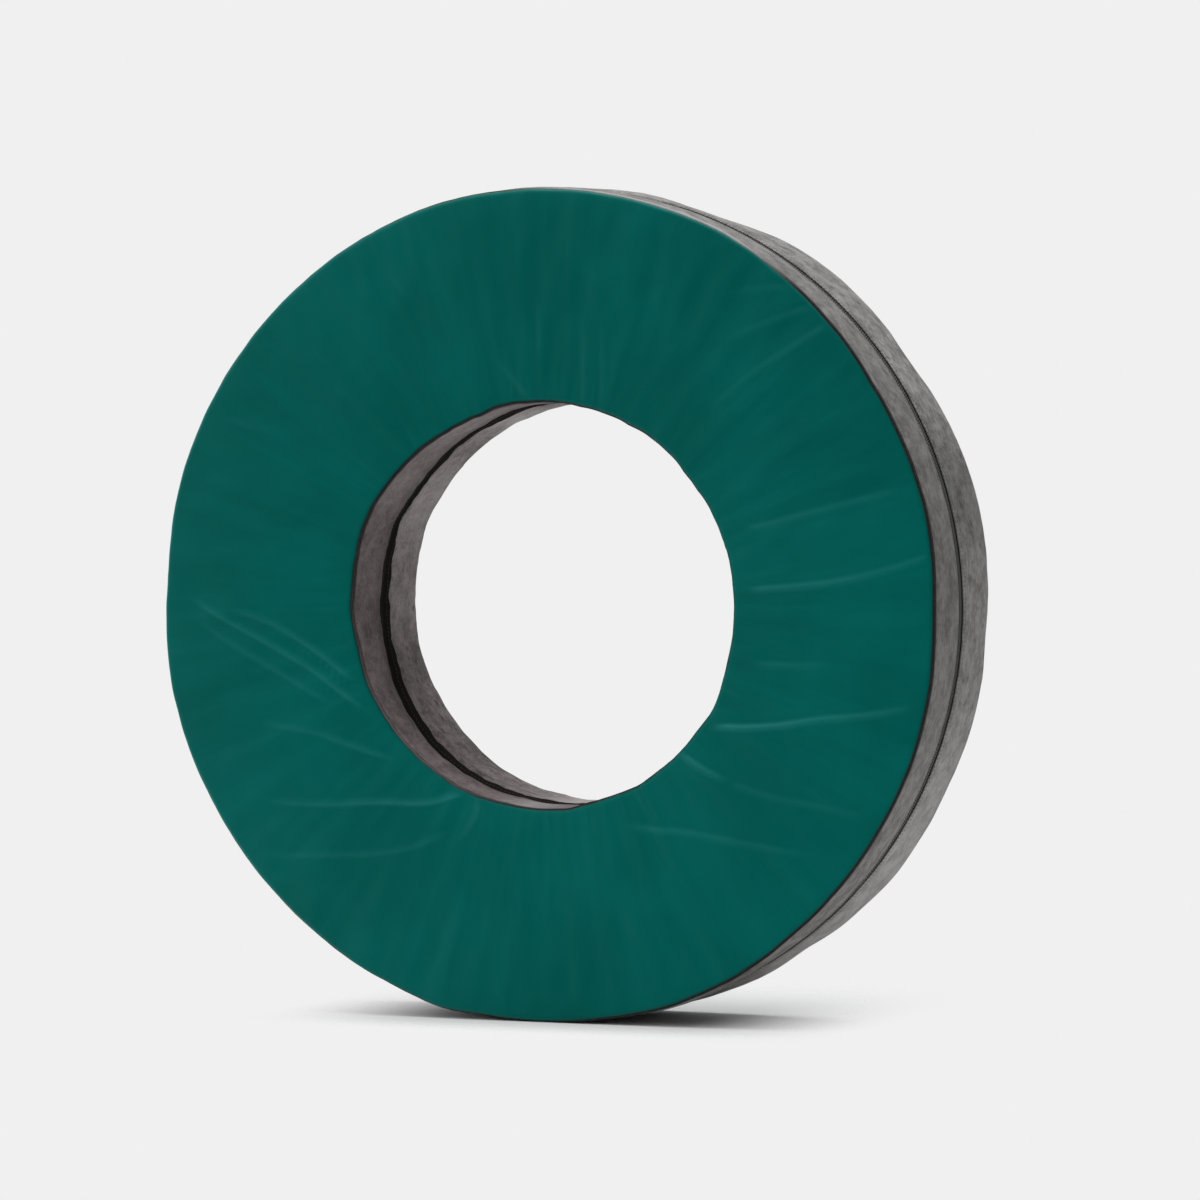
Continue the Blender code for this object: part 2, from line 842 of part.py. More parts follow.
def bottom_stop(name):
    """The block that joins the two rows at the zip's low end."""
    angle = chain_low_end - (running_gap + bottom_stop_length / 2) / zip_radius
    mesh = box(bottom_stop_length, 2 * teeth_row_width, stop_thickness)
    return small_block(name, mesh, angle, (0, 0, 0), black_teeth)


def zip_end_patch(name):
    """A grey patch sewn over the two ends of the zip, bridging the bands."""
    lift = touching_gap + patch_thickness
    low_angle = left_side - patch_facets * step / 2
    places = [band_rise_place + patch_margin, band_rise_place, zip_slot_width / 2]
    heights = places + [-place for place in reversed(places)]
    line = [(rim_reach, height) for height in heights]

    def form(radius, angle, height):
        return band_radius(angle, abs(height), height) + lift, height

    return formed_skin(name, line, form, patch_thickness, patch_fabric, low_angle, patch_facets)


# The whole wheel

foam_slab("foam_slab_front", 1)
foam_slab("foam_slab_rear", -1)
face_panel("face_panel_front", 1, green_vinyl, front_fold_shares, front_face_rows)
face_panel("face_panel_rear", -1, rear_vinyl, rear_fold_shares, rear_face_rows)
rim_band("rim_band_front", 1)
rim_band("rim_band_rear", -1)
bore_band("bore_band_front", 1)
bore_band("bore_band_rear", -1)
welt("rim_welt_front", 1, rim_corner, rim_corner_radius, 1)
welt("rim_welt_rear", -1, rim_corner, rim_corner_radius, 1)
welt("bore_welt_front", 1, bore_corner, bore_corner_radius, -1)
welt("bore_welt_rear", -1, bore_corner, bore_corner_radius, -1)
bore_binding("bore_seam_binding")
zip_tape("zip_tape_front", 1)
zip_tape("zip_tape_rear", -1)
teeth_row("zip_teeth_front", 1)
teeth_row("zip_teeth_rear", -1)
zip_slider("zip_slider")
zip_pull_tab("zip_pull_tab")
top_stop("zip_top_stop_front", 1)
top_stop("zip_top_stop_rear", -1)
bottom_stop("zip_bottom_stop")
zip_end_patch("zip_end_patch")
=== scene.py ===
# %% [markdown]
# # A tackling wheel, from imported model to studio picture
#
# A tackling wheel is a soft ring of foam that stands on its rim. It is rolled over the grass and
# tackled, so its cover is sewn from tough vinyl and cloth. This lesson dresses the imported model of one:
# it keeps the model's sizes and joints, and gives every piece the shape and finish that the eye sees.
#
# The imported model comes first, as a frame that is never moved. Each new piece says which body of the
# model it rides on, and which of the model's plain solids it stands for.

# %% Load the frame
import functools
import math
import random

import bmesh
import bpy
from mathutils import Matrix, Vector, noise


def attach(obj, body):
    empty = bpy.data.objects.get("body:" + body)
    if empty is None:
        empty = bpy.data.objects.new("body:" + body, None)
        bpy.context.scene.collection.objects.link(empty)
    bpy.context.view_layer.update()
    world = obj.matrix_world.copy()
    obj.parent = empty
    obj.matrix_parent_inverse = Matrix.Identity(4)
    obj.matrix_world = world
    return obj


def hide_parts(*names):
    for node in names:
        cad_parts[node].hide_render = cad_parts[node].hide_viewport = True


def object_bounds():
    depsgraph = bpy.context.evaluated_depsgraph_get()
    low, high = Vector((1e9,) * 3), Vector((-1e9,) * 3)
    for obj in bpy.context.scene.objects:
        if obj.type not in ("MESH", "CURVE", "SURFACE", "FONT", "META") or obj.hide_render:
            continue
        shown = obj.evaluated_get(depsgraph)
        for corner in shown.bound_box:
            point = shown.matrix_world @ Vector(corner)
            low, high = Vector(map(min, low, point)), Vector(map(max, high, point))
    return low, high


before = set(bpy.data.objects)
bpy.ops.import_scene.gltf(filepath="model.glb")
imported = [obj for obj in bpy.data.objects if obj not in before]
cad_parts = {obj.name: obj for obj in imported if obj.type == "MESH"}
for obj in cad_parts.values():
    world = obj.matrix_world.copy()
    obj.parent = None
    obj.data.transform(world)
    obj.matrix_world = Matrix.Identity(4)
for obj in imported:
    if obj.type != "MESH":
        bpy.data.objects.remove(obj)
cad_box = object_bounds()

print("solids:", len(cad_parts))

# %% [markdown]
# ## Sizes
#
# Everything on the wheel is a ring, so a place on it needs three numbers: the radius from the wheel's
# axis, the angle round it, and how far it lies in front of the wheel's middle plane. The axis is Y and
# the front looks towards -Y. These are the real sizes in metres, and the same ones as the model's.

# %% The wheel's sizes
wheel_radius = 0.6096
bore_radius = 0.298
half_width = 0.117
corner_radius = 0.010
face_crown = 0.004
crown_radius = wheel_radius - 0.0020
shell_radius = crown_radius - 0.0008
cloth_thickness = 0.0012
welt_radius = 0.0019
welt_sink = 0.0008
zip_radius = 0.6025
slot_half = 0.0105
slot_radius = 0.6048
crown_place = 0.063
groove_half = 0.018
groove_depth = 0.007
floor_height = cad_box[0][2]

rim_corner = (shell_radius - corner_radius, half_width - corner_radius)
bore_corner = (bore_radius + corner_radius, half_width - corner_radius)
foam_core = (wheel_radius + bore_radius) / 2

# The cover's edges are rounded. Each entry is the middle of the curve, as radius and front, and the
# way in which the radius grows towards the outside of the cover.
rounded_edges = {"rim": (rim_corner, 1), "bore": (bore_corner, -1)}

# How far each seam has slipped round its rounded edge, as a turn from the face.
seam_turns = {
    ("rim", 1): math.radians(62),
    ("rim", -1): math.radians(45),
    ("bore", 1): math.radians(56),
    ("bore", -1): math.radians(45),
}
seam_stop = math.asin((welt_radius + 0.0002) / corner_radius)
print("floor at %.4f m, model box %s" % (floor_height, [round(v, 4) for v in cad_box[1]]))


# %% [markdown]
# ## Turning rings
#
# Every skin of the wheel is a line turned round the axis, which is what bmesh's spin operator does. One
# spin in hundreds of steps is slow, because each step goes over the whole mesh, so a sector is spun and
# then copied round, and the doubled points between the copies are merged. Spin can leave a shape inside
# out, so the faces are set to look away from the middle of the foam before a skin gets its thickness.

# %% Helpers for rings
most_sectors = 30
same_place = 1e-5

# How many steps each kind of skin takes round the wheel, and round a rounded edge.
face_steps = 400
band_steps = 600
cord_steps = 720
foam_steps = 240
edge_steps = 4


def on_ring(radius, angle, front):
    """The point at a radius, an angle from +X towards +Z, and a distance in front of the middle."""
    return Vector((radius * math.cos(angle), -front, radius * math.sin(angle)))


def ring_place(point):
    """The radius, the angle and the distance in front of the middle of a point."""
    return math.hypot(point.x, point.z), math.atan2(point.z, point.x), -point.y


def turned(work, geometry, steps, angle, duplicate):
    """Turns geometry round the wheel's axis, as one skin or as copies."""
    bmesh.ops.spin(
        work, geom=geometry, cent=(0, 0, 0), axis=(0, -1, 0), angle=angle, steps=steps,
        use_merge=False, use_duplicate=duplicate,
    )


def copies_round(work, count, angle):
    """Repeats the whole bmesh until there are count of it, each turned by the angle from the last."""
    if count > 1:
        everything = work.verts[:] + work.edges[:] + work.faces[:]
        turned(work, everything, count - 1, angle * (count - 1), True)


def spun(line, steps, start=0.0, sweep=math.tau, closed=False):
    """The (radius, front) line turned round the axis. One sector is spun, and then copied round."""
    sectors = max(count for count in range(1, most_sectors + 1) if steps % count == 0)
    work = bmesh.new()
    dots = [work.verts.new(on_ring(radius, start, front)) for radius, front in line]
    edges = [work.edges.new(pair) for pair in zip(dots, dots[1:])]
    if closed:
        edges.append(work.edges.new((dots[-1], dots[0])))
    turned(work, dots + edges, steps // sectors, sweep / sectors, False)
    copies_round(work, sectors, sweep / sectors)
    bmesh.ops.remove_doubles(work, verts=work.verts[:], dist=same_place)
    look_outwards(work)
    return work


def agreed(work):
    """Makes the faces of each shape look the same way: outwards, where the shape is closed."""
    bmesh.ops.recalc_face_normals(work, faces=work.faces[:])


def look_outwards(work):
    """Turns the faces to look away from the middle of the foam."""
    agreed(work)
    total = 0.0
    for face in work.faces:
        middle = face.calc_center_median()
        radius, angle, front = ring_place(middle)
        total += (middle - on_ring(foam_core, angle, 0.0)).dot(face.normal) * face.calc_area()
    if total < 0:
        bmesh.ops.reverse_faces(work, faces=work.faces[:])


def moved(work, *moves):
    """Passes each point's (radius, angle, front) through the moves in turn."""
    for dot in work.verts:
        radius, angle, front = ring_place(dot.co)
        for move in moves:
            radius, front = move(radius, angle, front)
        dot.co = on_ring(radius, angle, front)


def stretch(low, high, count):
    """The numbers from low to high in this many equal steps."""
    return [low + (high - low) * index / count for index in range(count + 1)]


def on_edge(edge, reach, turn):
    """The (radius, front) point at a reach from the middle of a rounded edge's curve.

    Turn 0 faces the front, and a right angle faces the rim or the bore.
    """
    corner, outward = rounded_edges[edge]
    return corner[0] + outward * reach * math.sin(turn), corner[1] + reach * math.cos(turn)


def arc(edge, reach, start, end, count):
    """Points on a rounded edge, from one turn to another."""
    return [on_edge(edge, reach, turn) for turn in stretch(start, end, count)]


def flipped(line, side):
    """The line for the front of the wheel, or its mirror image for the rear."""
    return [(radius, side * front) for radius, front in line]


def side_of(front):
    """1 in front of the wheel's middle plane, -1 behind it."""
    return 1 if front > 0 else -1


def clipped(value):
    return min(1.0, max(0.0, value))


def smooth_step(low, high, value):
    """0 up to low, 1 from high on, and a soft slope between them."""
    share = clipped((value - low) / (high - low))
    return share * share * (3 - 2 * share)


def within(rise, full, fall, gone, value):
    """1 from full to fall and 0 outside rise and gone, with soft sides."""
    return smooth_step(rise, full, value) * (1 - smooth_step(fall, gone, value))


def bell(value, half):
    """1 at nought, about a third at the half width, and soon nothing."""
    return math.exp(-((value / half) ** 2))


# %% [markdown]
# ## Pieces
#
# A finished piece is an object at the origin, with its place in its mesh. It rides on a body, names
# the plain solids it stands for, and takes its finish.

# %% Making a piece
piece_sizes = {}


def mesh_of(name, work):
    """Writes a bmesh into a new mesh, and frees the bmesh."""
    mesh = bpy.data.meshes.new(name)
    work.to_mesh(mesh)
    work.free()
    return mesh


def shown(name, data):
    """A new object at the origin, in the scene."""
    thing = bpy.data.objects.new(name, data)
    bpy.context.scene.collection.objects.link(thing)
    return thing


def merged(work, other):
    """Adds one bmesh to another."""
    mesh = mesh_of("merging", other)
    work.from_mesh(mesh)
    bpy.data.meshes.remove(mesh)


def new_piece(name, work, finish, stands_for=(), body="wheel"):
    mesh = mesh_of(name, work)
    mesh.shade_smooth()
    mesh.materials.append(finish)
    piece = shown(name, mesh)
    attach(piece, body)
    if stands_for:
        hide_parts(*stands_for)
    piece_sizes[name] = len(mesh.polygons)
    print("%s: %d faces" % (name, len(mesh.polygons)))
    return piece


def give_wall(piece, thickness):
    """Cloth has a thickness: the skin grows inwards from its outer face."""
    wall = piece.modifiers.new("wall", "SOLIDIFY")
    wall.thickness = thickness
    wall.offset = -1
    wall.use_even_offset = True


def write_marks(piece, **marks):
    """Gives each point of a piece the numbers that its finish reads, such as where light or shade is
    painted.
    """
    for name, values in marks.items():
        layer = piece.data.attributes.new(name, "FLOAT", "POINT")
        layer.data.foreach_set("value", values)


# %% [markdown]
# ## Finishes
#
# A finish is a node tree. To write one as a sum, such as `base * (1 - 0.3 * worn)`, a small class wraps
# a node's output and overloads Python's operators: each operator adds the Math node that does it. One
# more method adds any other kind of node.

# %% A small language for node trees
class Value:
    """A number or colour that changes over a surface, held by a node's output."""

    def __init__(self, nodes, socket):
        self.nodes = nodes
        self.socket = socket

    def math(self, operation, *others, clamp=False):
        inputs = [self, *others]
        return self.nodes.node("ShaderNodeMath", {"operation": operation, "use_clamp": clamp}, inputs)

    def __add__(self, other):
        return self.math("ADD", other)

    def __sub__(self, other):
        return self.math("SUBTRACT", other)

    def __rsub__(self, other):
        return self.nodes.node("ShaderNodeMath", {"operation": "SUBTRACT"}, [other, self])

    def __mul__(self, other):
        return self.math("MULTIPLY", other)

    def __truediv__(self, other):
        return self.math("DIVIDE", other)

    def __pow__(self, other):
        return self.math("POWER", other)

    def __neg__(self):
        return self.math("MULTIPLY", -1.0)

    def __abs__(self):
        return self.math("ABSOLUTE")

    def clamped(self):
        return self.math("ADD", 0.0, clamp=True)

    def sine(self):
        return self.math("SINE")

    def spread(self, low, high):
        """0 at low and under, 1 at high and over, with soft ends."""
        settings = {"interpolation_type": "SMOOTHSTEP"}
        inputs = {"Value": self, "From Min": low, "From Max": high}
        return self.nodes.node("ShaderNodeMapRange", settings, inputs)

    __radd__ = __add__
    __rmul__ = __mul__


class Nodes:
    """A node tree that nodes are added to."""

    def __init__(self, tree):
        self.tree = tree

    def node(self, kind, settings, inputs, output=0):
        """Adds a node with its settings, and its inputs as numbers, colours or links."""
        made = self.tree.nodes.new(kind)
        for key, value in settings.items():
            setattr(made, key, value)
        items = inputs.items() if isinstance(inputs, dict) else enumerate(inputs)
        for key, value in items:
            if isinstance(value, Value):
                self.tree.links.new(value.socket, made.inputs[key])
            else:
                made.inputs[key].default_value = value
        return Value(self, made.outputs[output])

    def mixed(self, share, first, second):
        """A colour between two others. Each is a colour or the result of another mix."""
        colours = [(*c, 1.0) if isinstance(c, tuple) else c for c in (first, second)]
        inputs = {0: share, 6: colours[0], 7: colours[1]}
        return self.node("ShaderNodeMix", {"data_type": "RGBA", "clamp_factor": True}, inputs, 2)


class Finish(Nodes):
    """One Principled material, with the patterns that its surface needs."""

    def __init__(self, name, roughness, specular=0.5):
        self.material = bpy.data.materials.new(name)
        self.material.use_nodes = True
        super().__init__(self.material.node_tree)
        self.shader = self.tree.nodes["Principled BSDF"]
        self.shader.inputs["Roughness"].default_value = roughness
        self.shader.inputs["Specular IOR Level"].default_value = specular
        self.place = self.node("ShaderNodeTexCoord", {}, {}, "Object")

    def feed(self, socket, value):
        self.tree.links.new(value.socket, self.shader.inputs[socket])

    def axes(self):
        split = self.node("ShaderNodeSeparateXYZ", {}, [self.place])
        outputs = split.socket.node.outputs
        return [Value(self, outputs[name]) for name in "XYZ"]

    def vector(self, x, y, z):
        return self.node("ShaderNodeCombineXYZ", {}, [x, y, z])

    def round_place(self):
        """Sine, cosine and radius round the wheel's axis, and the distance along it."""
        x, y, z = self.axes()
        radius = (x * x + z * z) ** 0.5
        return x / radius, z / radius, radius, y

    def turn(self):
        """The angle round the wheel's axis."""
        x, _, z = self.axes()
        return z.math("ARCTAN2", x)

    def noise(self, place, scale, detail=2.0, roughness=0.5):
        inputs = {"Vector": place, "Scale": scale, "Detail": detail, "Roughness": roughness}
        return self.node("ShaderNodeTexNoise", {"noise_dimensions": "3D"}, inputs)

    def cells(self, place, scale):
        return self.node("ShaderNodeTexVoronoi", {"feature": "F1"}, {"Vector": place, "Scale": scale})

    def mark(self, name):
        """A vertex attribute of the piece, such as how near a point is to a crease."""
        return self.node("ShaderNodeAttribute", {"attribute_name": name}, {}, "Fac")

    def bump(self, height, distance, strength=1.0, below=None):
        inputs = {"Height": height, "Distance": distance, "Strength": strength}
        if below is not None:
            inputs["Normal"] = below
        return self.node("ShaderNodeBump", {}, inputs)


# %% [markdown]
# ## Green vinyl
#
# The faces are a heavy vinyl on a woven backing. Its own colour is nearly all green and blue, so a
# white shine would grey it at once: its shine is tinted, as the pigment in a soft vinyl skin tints it.
# It has a fine moulded grain, the faint grid of the backing, and long pulls from seam to seam. A crease
# is a broad pale stretch with a finer line in it, partly whitened vinyl and partly a painted highlight,
# and a dark side where the fold turns away, which is painted shade. The hollow beside each welt gets
# painted shade too. Its lines are finer than the mesh, so the shaping writes each point's distance to
# the nearest crease and how strong that crease is there, and the material draws the lines from these
# two marks.

# %% The vinyl
def vinyl(name, deep, bright, whitened_and_highlit):
    finish = Finish(name, roughness=0.42, specular=0.5)
    finish.shader.inputs["Specular Tint"].default_value = (0.01, 0.45, 0.40, 1.0)
    across, up, radius, _ = finish.round_place()
    pulls = finish.noise(finish.vector(across * 26, up * 26, radius * 2.4), 1.0, 4.0, 0.66)
    cloudy = finish.noise(finish.place, 5.5, 3.0, 0.5)
    tone = (pulls * 0.30 + cloudy * 0.70).spread(0.36, 0.66)
    frayed = finish.noise(finish.place, 160.0, 2.0, 0.6) * 0.0012 - 0.0006

    def drawn(kind, half):
        """A broad pale stretch with a fine line in it, partly a painted highlight, and the dark side of
        the fold, which is painted shade.
        """
        aside = finish.mark(kind + "_distance") + frayed
        level = finish.mark(kind + "_level")
        broad = (1 - abs(aside) / half).clamped() * level * 0.48
        fine = (1 - abs(aside - 0.2 * half) / (0.35 * half)).clamped() * level * level * 0.48
        return broad + fine, (1 - abs(aside - half) / (0.7 * half)).clamped() * level

    # The pale line of a crease is partly whitened vinyl and partly a painted highlight; its dark side is
    # painted shade.
    line, shade = drawn("crease", 0.0095)
    thin_line, thin_shade = drawn("pull", 0.0045)
    line = (line + thin_line).clamped()
    shade = (shade + thin_shade).clamped()
    # The seam mark is painted shade in the hollow beside each welt.
    hem = finish.mark("seam").clamped()
    scuffs = (finish.noise(finish.place, 46.0, 4.0, 0.7) - 0.66).clamped() * 4
    colour = finish.mixed(tone, deep, bright)
    colour = finish.mixed(line, colour, whitened_and_highlit)
    colour = finish.mixed((shade * 0.40).clamped(), colour, (0.0003, 0.035, 0.030))
    colour = finish.mixed((hem * 0.75).clamped(), colour, (0.0006, 0.016, 0.014))
    colour = finish.mixed((scuffs * 0.10).clamped(), colour, whitened_and_highlit)
    finish.feed("Base Color", colour)
    finish.feed("Roughness", 0.40 + cloudy * 0.08 + scuffs * 0.10 - line * 0.06)
    grain = finish.cells(finish.place, 1100.0)
    thread_x, _, thread_z = finish.axes()
    scrim = (thread_x * 3300).sine() * (thread_z * 3300).sine()
    fine = finish.bump(grain * 0.7 + scrim * 0.12, 0.00012, 0.35)
    ridges = finish.bump(line - shade * 0.6, 0.0009, 0.5, fine)
    finish.feed("Normal", finish.bump(pulls, 0.0011, 0.22, ridges))
    return finish.material


# The third tone is the whitened vinyl and the painted highlight of the creases, and of the scuffs.
vinyl_tones = ((0.0001, 0.067, 0.0575), (0.0003, 0.084, 0.0725), (0.022, 0.170, 0.165))
green_vinyl = vinyl("green_vinyl", *vinyl_tones)
rear_vinyl = vinyl("rear_vinyl", *vinyl_tones)
print("vinyl nodes:", len(green_vinyl.node_tree.nodes))


# %% [markdown]
# ## Heathered cloth
#
# The grey bands are woven from mixed light and dark yarn, so they look mottled at arm's length and
# speckled close up. Noise in three sizes gives the yarns, the slubs and the clouds, and a bump of
# crossing threads gives the weave. The threads go a whole number of times round the wheel, so there is
# no seam. Two marks that the shaping writes lay painted light and painted shade over it, and darker
# patches at the lower left of the bore.

# %% The grey cloth
def heather(name, dark, light, stains=0.30):
    finish = Finish(name, roughness=0.92, specular=0.05)
    finish.shader.inputs["Sheen Weight"].default_value = 0.03
    finish.shader.inputs["Sheen Roughness"].default_value = 0.6
    across, up, radius, front = finish.round_place()
    along_yarn = finish.vector(across * 330, up * 330, front * 1400 + radius * 900)
    yarn = finish.noise(along_yarn, 1.0, 2.0, 0.6)
    along_slub = finish.vector(across * 52, up * 52, front * 240 + radius * 180)
    slub = finish.noise(along_slub, 1.0, 2.0, 0.5)
    cloud = finish.noise(finish.place, 34.0, 3.0, 0.65)
    blots = (finish.noise(finish.place, 62.0, 2.0, 0.5) - 0.57).clamped() * 7
    tone = yarn * 0.28 + slub * 0.28 + cloud * 0.44
    # Two marks lay paint over the cloth: one paints light, and the seam mark paints shade, with darker
    # patches at the lower left of the bore.
    painted_shade_and_patches = finish.mark("seam").clamped()
    colour = finish.mixed(tone.spread(0.38, 0.62), dark, light)
    colour = finish.mixed((blots * stains).clamped(), colour, tuple(0.45 * share for share in dark))
    colour = finish.mixed(finish.mark("wear").clamped(), colour, (0.60, 0.57, 0.56))
    colour = finish.mixed(painted_shade_and_patches, colour, (0.012, 0.011, 0.010))
    finish.feed("Base Color", colour)
    weave = (finish.turn() * 1900).sine() * ((front * 3300).sine() + (radius * 3300).sine())
    threads = finish.bump(weave * 0.5 + yarn * 0.8, 0.00025, 0.5)
    rumples = finish.noise(finish.vector(across * 22, up * 22, front * 11), 1.0, 3.0, 0.55)
    finish.feed("Normal", finish.bump(rumples, 0.006, 0.45, threads))
    return finish.material


# The rear bands, at the rim and in the bore, are lighter copies of the grey cloth, painted light from
# behind; the bore's front band is a darker, browner copy, painted shade inside the bore.
grey_cloth = heather("grey_cloth", (0.125, 0.121, 0.118), (0.260, 0.252, 0.247))
rear_cloth_painted_lighter = heather("rear_cloth_painted_lighter", (0.145, 0.141, 0.138), (0.320, 0.312, 0.306), 0.45)
bore_cloth_painted_darker = heather("bore_cloth_painted_darker", (0.100, 0.081, 0.083), (0.218, 0.178, 0.182))
bore_rear_cloth_painted_lighter = heather("bore_rear_cloth_painted_lighter", (0.115, 0.100, 0.101), (0.290, 0.254, 0.256), 0.60)
patch_cloth = heather("patch_cloth", (0.120, 0.115, 0.110), (0.215, 0.206, 0.198))
print("cloth nodes:", len(grey_cloth.node_tree.nodes))


# %% [markdown]
# ## Piping, tape, thread and foam
#
# The piping is a cord in a sleeve of black vinyl, slightly glossy. The tapes are black and ribbed, the
# thread is dark and catches a little light, and the foam is cream with open pores.

# %% The trim's finishes
def piping():
    finish = Finish("black_piping", roughness=0.48, specular=0.15)
    across, up, radius, front = finish.round_place()
    creases = finish.noise(finish.vector(across * 120, up * 120, front * 60), 1.0, 3.0, 0.6)
    colour = finish.mixed(creases.spread(0.45, 0.7), (0.006, 0.008, 0.008), (0.016, 0.018, 0.018))
    # A painted highlight along the top of the rim, and paler piping at the lower left of the bore.
    finish.feed("Base Color", finish.mixed(finish.mark("wear").clamped(), colour, (0.50, 0.53, 0.52)))
    finish.feed("Roughness", 0.38 + creases * 0.2)
    finish.feed("Normal", finish.bump(creases, 0.0008, 0.5))
    return finish.material


def webbing(name, dark, light, ribs):
    """A woven narrow tape, ribbed across its length."""
    finish = Finish(name, roughness=0.90, specular=0.04)
    across, up, radius, front = finish.round_place()
    fuzz = finish.noise(finish.vector(across * 400, up * 400, front * 700), 1.0, 2.0, 0.6)
    weave = (finish.turn() * ribs).sine() * (front * 2600).sine()
    finish.feed("Base Color", finish.mixed((fuzz + weave * 0.15).spread(0.3, 0.75), dark, light))
    finish.feed("Normal", finish.bump(weave * 0.6 + fuzz * 0.5, 0.0003, 0.6))
    return finish.material


def thread():
    finish = Finish("sewing_thread", roughness=0.6, specular=0.3)
    twist = finish.noise(finish.place, 900.0, 1.0, 0.5)
    finish.feed("Base Color", finish.mixed(twist, (0.020, 0.020, 0.020), (0.060, 0.058, 0.056)))
    finish.feed("Normal", finish.bump(twist, 0.0002, 0.5))
    return finish.material


def moulding():
    """Injection-moulded acetal: even, dark and a little shiny."""
    finish = Finish("moulded_teeth", roughness=0.36, specular=0.5)
    haze = finish.noise(finish.place, 260.0, 3.0, 0.6)
    finish.feed("Base Color", finish.mixed(haze, (0.016, 0.016, 0.017), (0.034, 0.034, 0.035)))
    finish.feed("Roughness", 0.26 + haze * 0.2)
    finish.feed("Normal", finish.bump(haze, 0.0001, 0.4))
    return finish.material


def enamel():
    """Dark enamel on a zinc casting, rubbed bright here and there."""
    finish = Finish("slider_enamel", roughness=0.34, specular=0.5)
    rubbed = ((finish.noise(finish.place, 420.0, 4.0, 0.7) - 0.62).clamped() * 5).clamped()
    finish.feed("Base Color", finish.mixed(rubbed, (0.020, 0.020, 0.021), (0.42, 0.42, 0.43)))
    finish.feed("Metallic", rubbed)
    finish.feed("Roughness", 0.30 + rubbed * 0.18)
    ripple = finish.noise(finish.place, 600.0, 2.0, 0.5)
    finish.feed("Normal", finish.bump(ripple, 0.0001, 0.3))
    return finish.material


def sponge():
    finish = Finish("cream_foam", roughness=0.95, specular=0.1)
    pores = finish.cells(finish.place, 700.0)
    tone = finish.noise(finish.place, 9.0, 3.0, 0.6)
    finish.feed("Base Color", finish.mixed(tone, (0.56, 0.47, 0.29), (0.70, 0.62, 0.42)))
    finish.feed("Normal", finish.bump(pores, 0.0006, 0.6))
    return finish.material


black_piping = piping()
black_binding = webbing("black_binding", (0.006, 0.005, 0.005), (0.026, 0.022, 0.021), 1500)
zip_tape = webbing("zip_tape", (0.008, 0.008, 0.009), (0.030, 0.030, 0.031), 2600)
sewing_thread = thread()
moulded_teeth = moulding()
slider_enamel = enamel()
cream_foam = sponge()
print("finishes:", len(bpy.data.materials))


# %% [markdown]
# ## How a sewn foam ring departs from a true circle
#
# Foam is cut by hand and its cover is pulled tight, so the edges wander by a few millimetres and the
# rear edge looks slightly cornered. Each swelling is one entry: its angle in degrees, its half width
# and its height. They are written as round numbers and faded out at the zip, which stays a true circle
# because its slider runs on it, and at the floor, where the wheel's own weight presses it flat.

# %% Swellings and dents of the wheel
front_rim_swells = (
    (0, 7, -0.0040), (32, 8, -0.0034), (63, 9, 0.0034), (105, 7, 0.0012), (132, 11, -0.0010),
    (176, 7, -0.0045), (198, 12, 0.0018), (241, 6, 0.0018), (256, 7, 0.0058),
    (290, 7, 0.0026), (300, 5, 0.0024), (339, 5, 0.0010),
)
rear_rim_swells = (
    (15, 11, 0.0040), (36, 5, -0.0046), (54, 5, 0.0016), (72, 8, -0.0100), (120, 9, 0.0024),
    (150, 6, -0.0022), (205, 8, 0.0026), (238, 6, -0.0020), (303, 4, -0.0040), (320, 5, 0.0026),
    (335, 5, -0.0018), (338, 14, 0.0016), (356, 4, -0.0024),
)
front_bore_swells = (
    (39, 6, -0.0020), (56, 8, 0.0012), (115, 11, -0.0050), (158, 13, 0.0060), (182, 5, 0.0034),
    (204, 4, 0.0024), (235, 10, -0.0016), (262, 14, -0.0032), (288, 8, -0.0036), (332, 7, 0.0040),
)
rear_bore_swells = (
    (20, 10, 0.0022), (90, 14, -0.0022), (120, 26, -0.0032), (158, 5, 0.0030), (193, 6, 0.0018),
    (220, 8, -0.0012), (260, 12, -0.0018), (315, 10, 0.0020),
)
floor_place = -90
slip_width = 0.008
slip_end = 0.03


def degrees_past(degrees, place):
    """How far an angle is past a place, from -180 to 180 degrees."""
    return (degrees - place + 180) % 360 - 180


@functools.lru_cache(maxsize=None)
def swelling_at(degrees, swells):
    total = 0.0
    for place, half, height in swells:
        total += height * bell(degrees_past(degrees, place), half)
    return total


def swelling(angle, swells):
    """The sum of the swells at an angle, worked out once for each hundredth of a degree."""
    return swelling_at(round(math.degrees(angle), 2), swells)


def ripple(angle, lumps, seed):
    """Smooth noise from -1 to 1 round the ring, with about this many lumps in a turn."""
    reach = lumps / math.tau
    return noise.noise(Vector((reach * math.cos(angle), reach * math.sin(angle), seed)))


def off_floor(angle):
    """0 where the wheel presses on the floor, 1 well away from it."""
    return smooth_step(6, 18, abs(degrees_past(math.degrees(angle), floor_place)))


def left_half(angle):
    """1 on the left half of the rim, 0 on the right."""
    return within(70, 108, 248, 282, math.degrees(angle) % 360)


def seam_slip(angle, edge, side):
    """How far a seam is drawn round its edge: the front seams go back on the sides that hide them."""
    seed = 41.0 if edge == "rim" else 47.0
    slip = 0.0007 * ripple(angle, 64, seed + 2 * side)
    if side > 0:
        slip += 0.0034 * left_half(angle) if edge == "rim" else 0.0016 * (1 - left_half(angle))
    return slip


